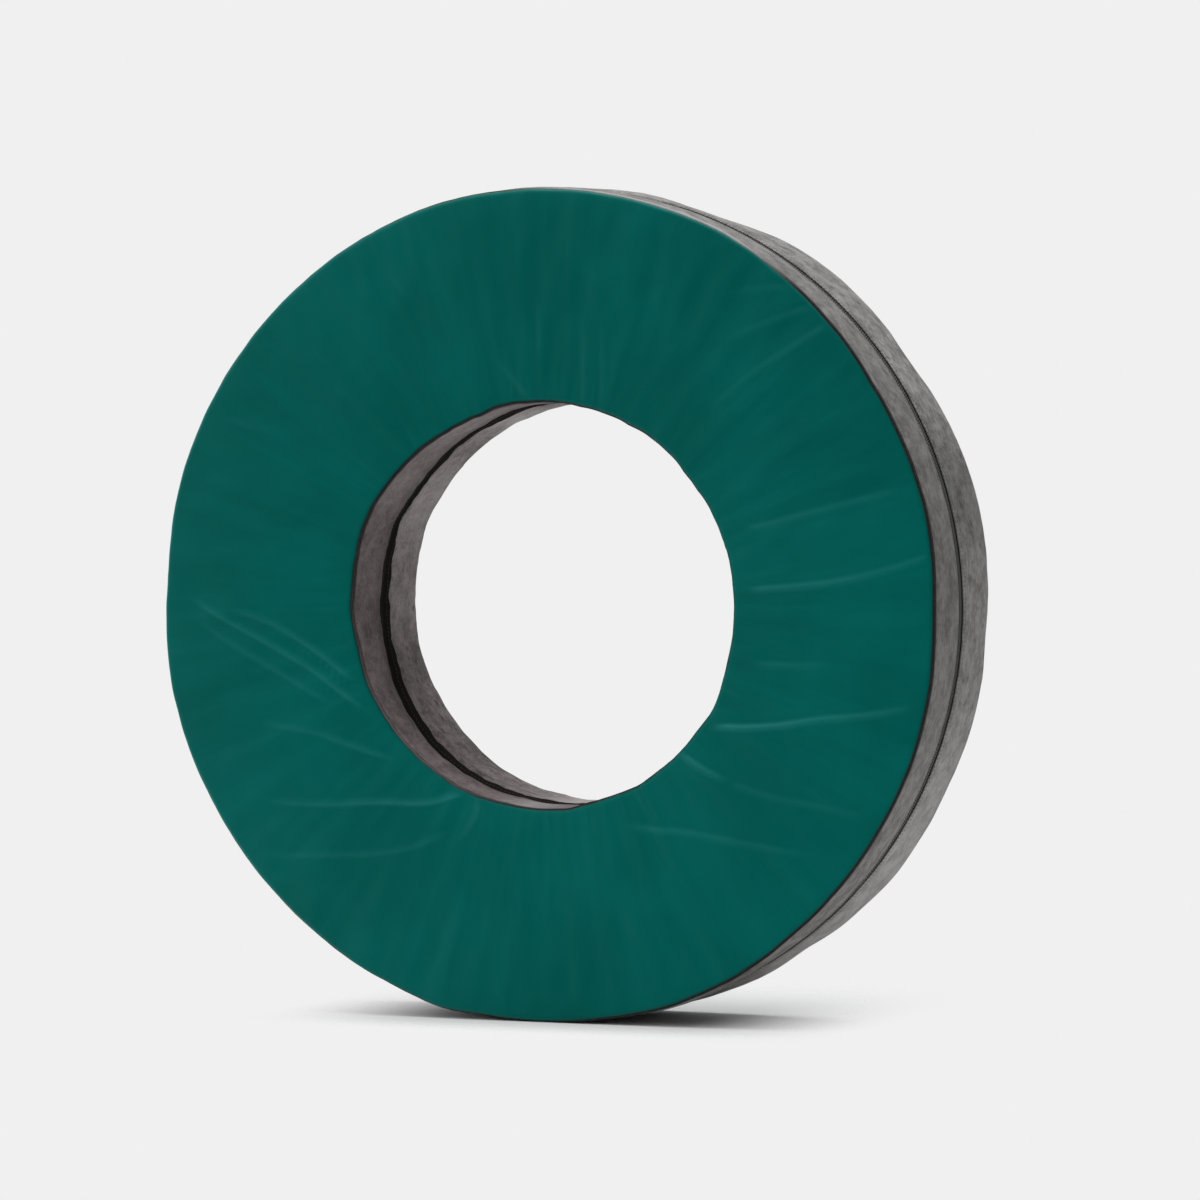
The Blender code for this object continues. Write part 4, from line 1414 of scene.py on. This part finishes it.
def foam_slab(name, side, node):
    skin = cloth_thickness + 0.0006
    line = [(zip_radius - foam_relief, glue_line), (zip_radius - foam_relief, 0.0074), foam_shoulder]
    for front in stretch(0.026, rim_corner[1], 10):
        slope = foam_shoulder[0] + (front - foam_shoulder[1]) * 0.3
        line.append((min(slope, band_radius(front) - skin), front))
    line += arc("rim", corner_radius - skin, math.pi / 2, 0.0, 5)[1:]
    for share in stretch(1.0, 0.0, 16)[1:-1]:
        radius = bore_corner[0] + share * (rim_corner[0] - bore_corner[0])
        line.append((radius, half_width + face_crown * math.sin(math.pi * share) - 2.5 * skin))
    line += arc("bore", corner_radius - skin, 0.0, math.pi / 2, 5)
    line.append((bore_radius + skin + 0.0012, groove_half + 0.004))
    line.append((bore_radius + groove_depth + skin + 0.001, glue_line))
    work = spun(flipped(line, side), foam_steps, closed=True)
    moved(work, swayed, wander)
    agreed(work)
    rest_on_floor(work, 0.0016)
    slab = new_piece(name, work, cream_foam, [node])


foam_slab("foam_front", 1, "foam_slab_front")
foam_slab("foam_rear", -1, "foam_slab_rear")


# %% [markdown]
# ## The zip
#
# A moulded zip runs round the middle of the rim, so that the foam can be taken out. Its tapes lie under
# the edges of the two bands. Its two rows of teeth stand face to face on a true circle, with a narrow
# slot between them for the slider's post, and its two ends meet under a patch on the side away from
# the camera. One tooth is shaped from two bevelled blocks and is then repeated by spin, which turns
# copies round the wheel's axis when use_duplicate is on.

# %% Tapes and teeth
left_side = math.pi
zip_low_end = math.radians(195)
zip_sweep = math.radians(330)
tooth_pitch = 0.0039
teeth_in_batch = 30
tooth_batches = round(zip_sweep * zip_radius / tooth_pitch / teeth_in_batch)
tooth_count = teeth_in_batch * tooth_batches
tooth_turn = zip_sweep / tooth_count

# A tape's section: half its thickness, and how far from the middle. The bead holds the teeth.
tape_section = ((0.0004, 0.0226), (0.0004, 0.0025), (0.0009, 0.0015), (0.0004, 0.0005))
tape_start = 183
tape_degrees = 354

# The stretch without teeth between the two ends, in degrees: its middle, and where it begins to end.
toothless_middle = 180.3
toothless_half = (13.3, 14.0)

# The two blocks of a tooth: length along the zip, width, height and how far from the middle.
tooth_blocks = ((0.0019, 0.0038, 0.0026, 0.0028), (0.0026, 0.0015, 0.0024, 0.0012))


def zip_tape_ring(name, side, node):
    line = [(zip_radius + half, front) for half, front in tape_section]
    line += [(zip_radius - half, front) for half, front in reversed(tape_section)]
    start, sweep = math.radians(tape_start), math.radians(tape_degrees)
    work = spun(flipped(line, side), tape_degrees, start, sweep, closed=True)
    bmesh.ops.holes_fill(work, edges=[edge for edge in work.edges if edge.is_boundary])
    agreed(work)

    def butted(radius, angle, front):
        apart = abs(math.degrees(angle) % 360 - toothless_middle)
        beyond_stops = 1 - smooth_step(*toothless_half, apart)
        inner = 1 - smooth_step(0.0050, 0.0150, abs(front))
        return radius, front - side * 0.0004 * beyond_stops * inner

    moved(work, butted)
    new_piece(name, work, zip_tape, [node])


def rim_frame(angle, height=0.0):
    """A frame on the zip's circle: x along the zip, y to the front of the wheel, z outwards."""
    along = Vector((-math.sin(angle), 0, math.cos(angle)))
    out = Vector((math.cos(angle), 0, math.sin(angle)))
    matrix = Matrix((along, Vector((0, -1, 0)), out)).transposed().to_4x4()
    matrix.translation = out * (zip_radius + height)
    return matrix


def placed(work, matrix):
    bmesh.ops.transform(work, matrix=matrix, verts=work.verts[:])


def bevelled(work, edges, width, segments=2):
    bmesh.ops.bevel(
        work, geom=edges, offset=width, segments=segments, profile=0.5, affect="EDGES", material=-1,
    )


def block(work, length, width, height, centre, edge, segments=1):
    """A bevelled block, added to a bmesh."""
    made = bmesh.ops.create_cube(work, size=1)["verts"]
    bmesh.ops.scale(work, verts=made, vec=(length, width, height))
    bmesh.ops.translate(work, verts=made, vec=centre)
    bevelled(work, list({e for dot in made for e in dot.link_edges}), edge, segments)


def tooth_row(name, side, node):
    work = bmesh.new()
    for length, width, height, across in tooth_blocks:
        block(work, length, width, height, (0, across * side, 0), 0.0003)
    placed(work, rim_frame(zip_low_end + tooth_turn * (0.25 if side > 0 else 0.75)))
    copies_round(work, teeth_in_batch, tooth_turn)
    copies_round(work, tooth_batches, tooth_turn * teeth_in_batch)
    agreed(work)
    new_piece(name, work, moulded_teeth, [node])


zip_tape_ring("woven_tape_front", 1, "zip_tape_front")
zip_tape_ring("woven_tape_rear", -1, "zip_tape_rear")
tooth_row("tooth_row_front", 1, "zip_teeth_front")
tooth_row("tooth_row_rear", -1, "zip_teeth_rear")
print("teeth in a row:", tooth_count)


# %% [markdown]
# ## Stitches
#
# Lockstitch shows as a row of short raised threads. One is a stretched ball of a few faces, half sunk
# in the cloth. Spin repeats it round the wheel, and it then moves with the cloth that it is sewn into.

# %% Rows of stitches
stitch_length = 0.0046
stitch_pitch = 0.0062
stitch_radius = 0.00042
zip_stitch_rows = (0.0105, 0.0165)
binding_stitch_row = 0.0095


def one_stitch(work, matrix):
    made = bmesh.ops.create_uvsphere(work, u_segments=6, v_segments=4, radius=1.0)["verts"]
    bmesh.ops.rotate(work, verts=made, cent=(0, 0, 0), matrix=Matrix.Rotation(math.pi / 2, 3, "Y"))
    bmesh.ops.scale(work, verts=made, vec=(stitch_length / 2, stitch_radius, stitch_radius))
    bmesh.ops.transform(work, matrix=matrix, verts=made)


def stitch_ring(work, radius, front, sweep=math.tau, start=0.0):
    """Adds a row of stitches round the wheel at a radius and a distance in front of the middle."""
    dozens = max(1, round(radius * sweep / stitch_pitch / 12))
    turn = sweep / (dozens * 12)
    row = bmesh.new()
    matrix = rim_frame(start + turn / 2, radius - zip_radius) @ Matrix.Translation((0, front, 0))
    one_stitch(row, matrix)
    copies_round(row, 12, turn)
    copies_round(row, dozens, turn * 12)
    merged(work, row)


def zip_stitching(name, side):
    work = bmesh.new()
    for front in zip_stitch_rows:
        stitch_ring(work, band_radius(front), side * front)
    moved(work, lumpy, wander)
    rest_on_floor(work, 0.0002)
    new_piece(name, work, sewing_thread)


def binding_stitching():
    work = bmesh.new()
    for front in (binding_stitch_row, -binding_stitch_row):
        stitch_ring(work, bore_radius + groove_sink(abs(front) / groove_half) - 0.0013, front)

    def pulled(radius, angle, front):
        return radius - 0.0010 * gather(angle, side_of(front)), front

    moved(work, pulled, swayed, wander)
    new_piece("binding_stitches", work, sewing_thread)


zip_stitching("zip_stitches_front", 1)
zip_stitching("zip_stitches_rear", -1)
binding_stitching()


# %% [markdown]
# ## The slider and its pull tab
#
# The slider is a casting: two plates joined by a thin post, with lips that hold the teeth in, and a
# bridge on top that the tab swings on. It rests at the closed end of the zip. Its plates are outlines
# that are extruded and bevelled, and so is the bridge, which is then stood on its feet. The shapes keep
# the solids' clearances, because the slider travels round the whole zip.

# %% The slider
slider_turn = 2.8766397
slider_length = 0.018
slider_half = 0.0069
channel = 0.00212
plate_wall = 0.0012
top_height = channel + plate_wall
lip_low = 0.00112
lip_width = 0.0013
lip_across = 0.0055
overlap = 0.0003
pin_height = 0.004578
tab_thickness = 0.0015


def corners_of(items):
    return [item for item in items if isinstance(item, bmesh.types.BMVert)]


def raised(work, faces, height):
    """Extrudes faces straight up, and gives the new corners."""
    made = bmesh.ops.extrude_face_region(work, geom=faces, use_keep_orig=True)
    top = corners_of(made["geom"])
    bmesh.ops.translate(work, verts=top, vec=(0, 0, height))
    return top


def outline_plate(work, outline, low, high, edge):
    """A flat plate from a closed outline in x and y, bevelled all round."""
    dots = [work.verts.new((x, y, low)) for x, y in outline]
    top = raised(work, [work.faces.new(dots)], high - low)
    bevelled(work, list({e for dot in dots + top for e in dot.link_edges}), edge)


def mirrored_outline(points):
    return points + [(x, -y) for x, y in reversed(points)]


def slider_piece():
    work = bmesh.new()
    half = slider_length / 2
    wing = mirrored_outline([
        (-half, slider_half * 0.90),
        (-half * 0.9, slider_half * 0.94),
        (half * 0.2, slider_half * 0.99),
        (half * 0.5, slider_half),
        (half * 0.8, slider_half * 0.88),
        (half * 0.95, slider_half * 0.66),
        (half, slider_half * 0.45),
    ])
    for direction in (1, -1):
        low, high = sorted((direction * channel, direction * top_height))
        outline_plate(work, wing, low, high, 0.00025)
        for side in (1, -1):
            length = half * 1.36
            middle = -half + length / 2 + 0.0004
            centre = (middle, side * lip_across, direction * (channel + lip_low) / 2)
            block(work, length, lip_width, channel - lip_low + 0.0004, centre, 0.00015)
    post = mirrored_outline([(0.0022, 0.00015), (0.0050, 0.0003), (0.0078, 0.00015)])
    outline_plate(work, post, -channel - overlap, channel + overlap, 0.00006)
    foot = top_height - overlap
    arch = [(-0.0055, foot), (-0.0055, 0.0060), (-0.0048, 0.00695)]
    arch += [(0.0048, 0.00695), (0.0055, 0.0060), (0.0055, foot)]
    inner = [(0.0043, foot), (0.0043, 0.0055), (0.0039, 0.00586)]
    inner += [(-0.0039, 0.00586), (-0.0043, 0.0055), (-0.0043, foot)]
    bridge = bmesh.new()
    outline_plate(bridge, arch + inner, -0.0015, 0.0015, 0.0002)
    upright = Matrix.Rotation(math.pi / 2, 3, "X")
    bmesh.ops.rotate(bridge, verts=bridge.verts[:], cent=(0, 0, 0), matrix=upright)
    merged(work, bridge)
    agreed(work)
    placed(work, rim_frame(slider_turn))
    new_piece("cast_slider", work, slider_enamel, ["zip_slider"], body="slider")


slider_piece()

# %% [markdown]
# ## The pull tab
#
# The tab is a flat stamping with a square eye at one end, for the bridge, and a long hole at the
# other, for a glove or a cord. Each end is a loop of faces bridged between an outer and an inner
# rectangle. A narrower neck joins them, and the flat shape is then raised and its edges are bevelled.

# %% The pull tab
eye_end = 0.0084
tab_half = 0.0045
neck_narrowing = 0.72


def rectangle(work, low, high, half):
    corners = ((low, -half), (high, -half), (high, half), (low, half))
    return [work.verts.new((x, y, 0)) for x, y in corners]


def strip_with_hole(work, low, high, hole_low, hole_high, hole_half):
    """A flat rectangle with a rectangular hole in it, as a loop of four faces."""
    outer = rectangle(work, low, high, tab_half)
    inner = rectangle(work, hole_low, hole_high, hole_half)
    edges = []
    for ring in (outer, inner):
        edges += [work.edges.new(pair) for pair in zip(ring, ring[1:] + ring[:1])]
    bmesh.ops.bridge_loops(work, edges=edges)
    return outer


def tab_piece():
    work = bmesh.new()
    eye = strip_with_hole(work, -0.00075, eye_end, 0.00075, 0.0064, 0.0024)
    grip = strip_with_hole(work, 0.0124, 0.0338, 0.0198, 0.0308, 0.0022)
    neck_start = [dot for dot in eye if dot.co.x > 0]
    neck_end = [dot for dot in grip if dot.co.x < 0.013]
    ends = [work.edges.get(neck_start), work.edges.get(neck_end)]
    bmesh.ops.bridge_loops(work, edges=ends)
    neck_sides = [
        edge for edge in work.edges
        if {dot.co.x > eye_end for dot in edge.verts} == {True, False} and edge.calc_length() > 0.003
    ]
    cut = bmesh.ops.subdivide_edges(work, edges=neck_sides, cuts=1)
    for dot in corners_of(cut["geom_inner"]):
        dot.co.y *= neck_narrowing
    raised(work, work.faces[:], tab_thickness)
    bmesh.ops.translate(work, verts=work.verts[:], vec=(0, 0, -tab_thickness / 2))
    agreed(work)
    sharp = [e for e in work.edges if len(e.link_faces) == 2 and e.calc_face_angle() > 0.6]
    bevelled(work, sharp, 0.0003)
    agreed(work)
    placed(work, rim_frame(slider_turn, pin_height))
    stands_for = ["zip_pull_tab"]
    new_piece("stamped_pull_tab", work, slider_enamel, stands_for, body="pull_tab")


tab_piece()


# %% [markdown]
# ## Stops
#
# Small moulded stops end the zip: one on each tape at the closed end, and a wide one over both tapes at
# the other, where the slider's journey ends. Each is a rounded block with a few ribs pressed into it.

# %% The stops
top_stop_turn = slider_turn + (slider_length / 2 + 0.0018) / zip_radius
bottom_stop_turn = zip_low_end - 0.0028 / zip_radius
top_stop_across = 0.0032
top_stop_size = (0.0029, 0.0025, 0.0048)
bottom_stop_size = (0.0049, 0.0088, 0.0048)


def stop_piece(name, node, angle, across, size, ribs):
    work = bmesh.new()
    length, width, height = size
    block(work, length, width, height, (0, across, 0), 0.0004, 2)
    for rib in range(ribs):
        place = (rib - (ribs - 1) / 2) * length / (ribs + 1)
        block(work, 0.0005, width * 0.8, height + 0.0004, (place, across, 0), 0.0001)
    placed(work, rim_frame(angle))
    new_piece(name, work, moulded_teeth, [node])


stop_piece(
    "moulded_stop_top_front", "zip_top_stop_front", top_stop_turn, top_stop_across, top_stop_size, 2
)
stop_piece(
    "moulded_stop_top_rear", "zip_top_stop_rear", top_stop_turn, -top_stop_across, top_stop_size, 2
)
stop_piece("moulded_stop_bottom", "zip_bottom_stop", bottom_stop_turn, 0.0, bottom_stop_size, 3)


# %% [markdown]
# ## The end patch
#
# A patch of the grey cloth is sewn over the two ends of the zip, where dirt would get in and the stops
# would scratch. It is a short strip turned round the axis and then laid on both bands, with a straight
# bridge over the gap between them. Its stitches are laid down in the same way as the patch itself.

# %% The end patch
patch_half = 0.0308
patch_wall = 0.0010
patch_sweep = math.radians(18)
patch_seam_row = 0.0275
patch_seam_sweep = math.radians(17.2)


def patch_height(radius, angle, front):
    """Lays a point of the patch on the bands, or on the straight bridge between them."""
    across = max(abs(front), slot_half)
    bridged = band_radius(across) + band_lump(angle, side_of(front) * across)
    sag = 0.0012 * (1 - smooth_step(0.0, slot_half, abs(front)))
    edge = 0.0005 * ripple(angle, 400, 40.0) * smooth_step(0.026, 0.031, abs(front))
    return bridged + 0.0016 - sag + edge, front


def end_patch():
    line = [(wheel_radius, front) for front in stretch(-patch_half, patch_half, 36)]
    work = spun(line, 80, start=left_side - patch_sweep / 2, sweep=patch_sweep)
    moved(work, patch_height, wander)
    patch = new_piece("sewn_end_patch", work, patch_cloth, ["zip_end_patch"])
    give_wall(patch, patch_wall)


def patch_stitching():
    work = bmesh.new()
    start = left_side - patch_seam_sweep / 2
    for front in (patch_seam_row, -patch_seam_row):
        stitch_ring(work, wheel_radius, front, patch_seam_sweep, start)
    for angle in (start, start + patch_seam_sweep):
        for index in range(9):
            front = -0.0248 + index * stitch_pitch
            matrix = rim_frame(angle, wheel_radius - zip_radius) @ Matrix.Translation((0, front, 0))
            one_stitch(work, matrix @ Matrix.Rotation(math.pi / 2, 4, "Z"))

    def laid(radius, angle, front):
        lifted, front = patch_height(radius, angle, front)
        return lifted + (radius - wheel_radius), front

    moved(work, laid, wander)
    new_piece("patch_stitches", work, sewing_thread)


end_patch()
patch_stitching()


# %% [markdown]
# ## Studio
#
# The floor and the background are the same pale grey, as in a product photograph, so the horizon does
# not show. Light comes from a large soft panel overhead and from all round. The camera sees the world
# as plain grey, and so do reflections, while everything else is lit by a softer level.

# %% Floor
studio_grey = 0.871
floor_radius = 7.0
floor_gap = 0.0002


def studio_floor():
    finish = Finish("studio_floor", roughness=0.9, specular=0.1)
    x, y, _ = finish.axes()
    seen = finish.node("ShaderNodeLightPath", {}, {}, "Is Camera Ray")
    far = ((x * x + y * y) ** 0.5).spread(1.2, 3.6)
    bounce = finish.mixed(far, (0.74, 0.74, 0.74), (0.22, 0.22, 0.22))
    finish.feed("Base Color", finish.mixed(seen, bounce, (0.620, 0.620, 0.620)))
    beside = abs(x - 0.02).spread(0.18, 0.47)
    before = (-y).spread(0.13, 0.29)
    behind = y.spread(0.08, 0.75)
    away = 1 - (1 - beside) * (1 - before) * (1 - behind)
    clear = finish.node("ShaderNodeBsdfTransparent", {}, {})
    solid = Value(finish, finish.shader.outputs[0])
    surface = finish.node("ShaderNodeMixShader", {}, {0: away * seen, 1: solid, 2: clear})
    output = finish.tree.nodes["Material Output"]
    finish.tree.links.new(surface.socket, output.inputs["Surface"])
    work = bmesh.new()
    bmesh.ops.create_circle(work, cap_ends=True, segments=96, radius=floor_radius)
    bmesh.ops.translate(work, verts=work.verts[:], vec=(0, 0, floor_height - floor_gap))
    mesh = mesh_of("studio_floor", work)
    mesh.materials.append(finish.material)
    floor = shown("studio_floor", mesh)


studio_floor()

# %% [markdown]
# ## Light
#
# A big soft panel right overhead makes the dark, close shadow under the wheel. It is a sun with a wide
# angle, which acts as a panel so large and far away that its light is even. The world fills in from the
# front left and from behind, and stays dark at the right, where the rim is darkest in the photograph.

# %% World and lamps
def studio_world(dark, front, back):
    """Light from all round: dark to the right, brightest from the front left, some from behind."""
    world = bpy.data.worlds.new("studio")
    bpy.context.scene.world = world
    world.use_nodes = True
    nodes = Nodes(world.node_tree)
    looking = nodes.node("ShaderNodeTexCoord", {}, {}, "Generated")
    glow = dark
    for source, strength in (((-0.60, -0.72, 0.35), front), ((0.15, 0.95, 0.20), back)):
        inputs = [looking, tuple(Vector(source).normalized())]
        towards = nodes.node("ShaderNodeVectorMath", {"operation": "DOT_PRODUCT"}, inputs, "Value")
        glow = towards.clamped() ** 2 * strength + glow
    seen = nodes.node("ShaderNodeLightPath", {}, {}, "Is Camera Ray")
    for kind in ("Is Glossy Ray", "Is Transmission Ray"):
        seen = seen.math("MAXIMUM", nodes.node("ShaderNodeLightPath", {}, {}, kind))
    grey = nodes.node("ShaderNodeCombineColor", {}, [glow, glow, glow])
    tone = nodes.mixed(seen, grey, (studio_grey, studio_grey, studio_grey))
    background = world.node_tree.nodes["Background"]
    world.node_tree.links.new(tone.socket, background.inputs["Color"])
    background.inputs["Strength"].default_value = 1.0


def soft_sun(name, source, spread, strength):
    """A sun whose light comes from around a direction; spread is the panel's width as an angle."""
    light = bpy.data.lights.new(name, "SUN")
    light.angle = math.radians(spread)
    light.energy = strength
    lamp = shown(name, light)
    lamp.location = Vector(source) * 4
    lamp.rotation_euler = Vector(source).to_track_quat("Z", "Y").to_euler()


studio_world(dark=0.03, front=1.75, back=0.85)
soft_sun("overhead", (0.0, 0.0, 1.0), 50, 3.1)
print("world and a soft sun overhead")

# %% [markdown]
# ## Camera
#
# The camera stands about ten metres away with a long lens, turned to one side of the axis and a little
# above the middle. A small shift puts the wheel where it stands in the picture.

# %% Camera
camera_turn = math.radians(22.04)
camera_rise = math.radians(2.34)
camera_distance = 10.32
picture_width = 1200
focal_pixels = 7025.5
wheel_pixel = (571.2, 603.5)
sensor_width = 36.0

camera_data = bpy.data.cameras.new("camera")
camera_data.sensor_width = sensor_width
camera_data.sensor_fit = "HORIZONTAL"
camera_data.lens = sensor_width * focal_pixels / picture_width
camera_data.shift_x = (picture_width / 2 - wheel_pixel[0]) / picture_width
camera_data.shift_y = (wheel_pixel[1] - picture_width / 2) / picture_width
camera_data.clip_end = 60.0
camera = shown("camera", camera_data)
backwards = Vector((
    math.sin(camera_turn) * math.cos(camera_rise),
    -math.cos(camera_turn) * math.cos(camera_rise),
    math.sin(camera_rise),
))
camera.location = backwards * camera_distance
camera.rotation_euler = (-backwards).to_track_quat("-Z", "Y").to_euler()
bpy.context.scene.camera = camera
bpy.context.scene.view_settings.view_transform = "Standard"
print("lens: %.1f mm, %.2f m away" % (camera_data.lens, camera_distance))

# %% [markdown]
# ## Finish
#
# The last cell counts the faces of all the pieces.

# %% Finish
print("faces in all:", sum(piece_sizes.values()))
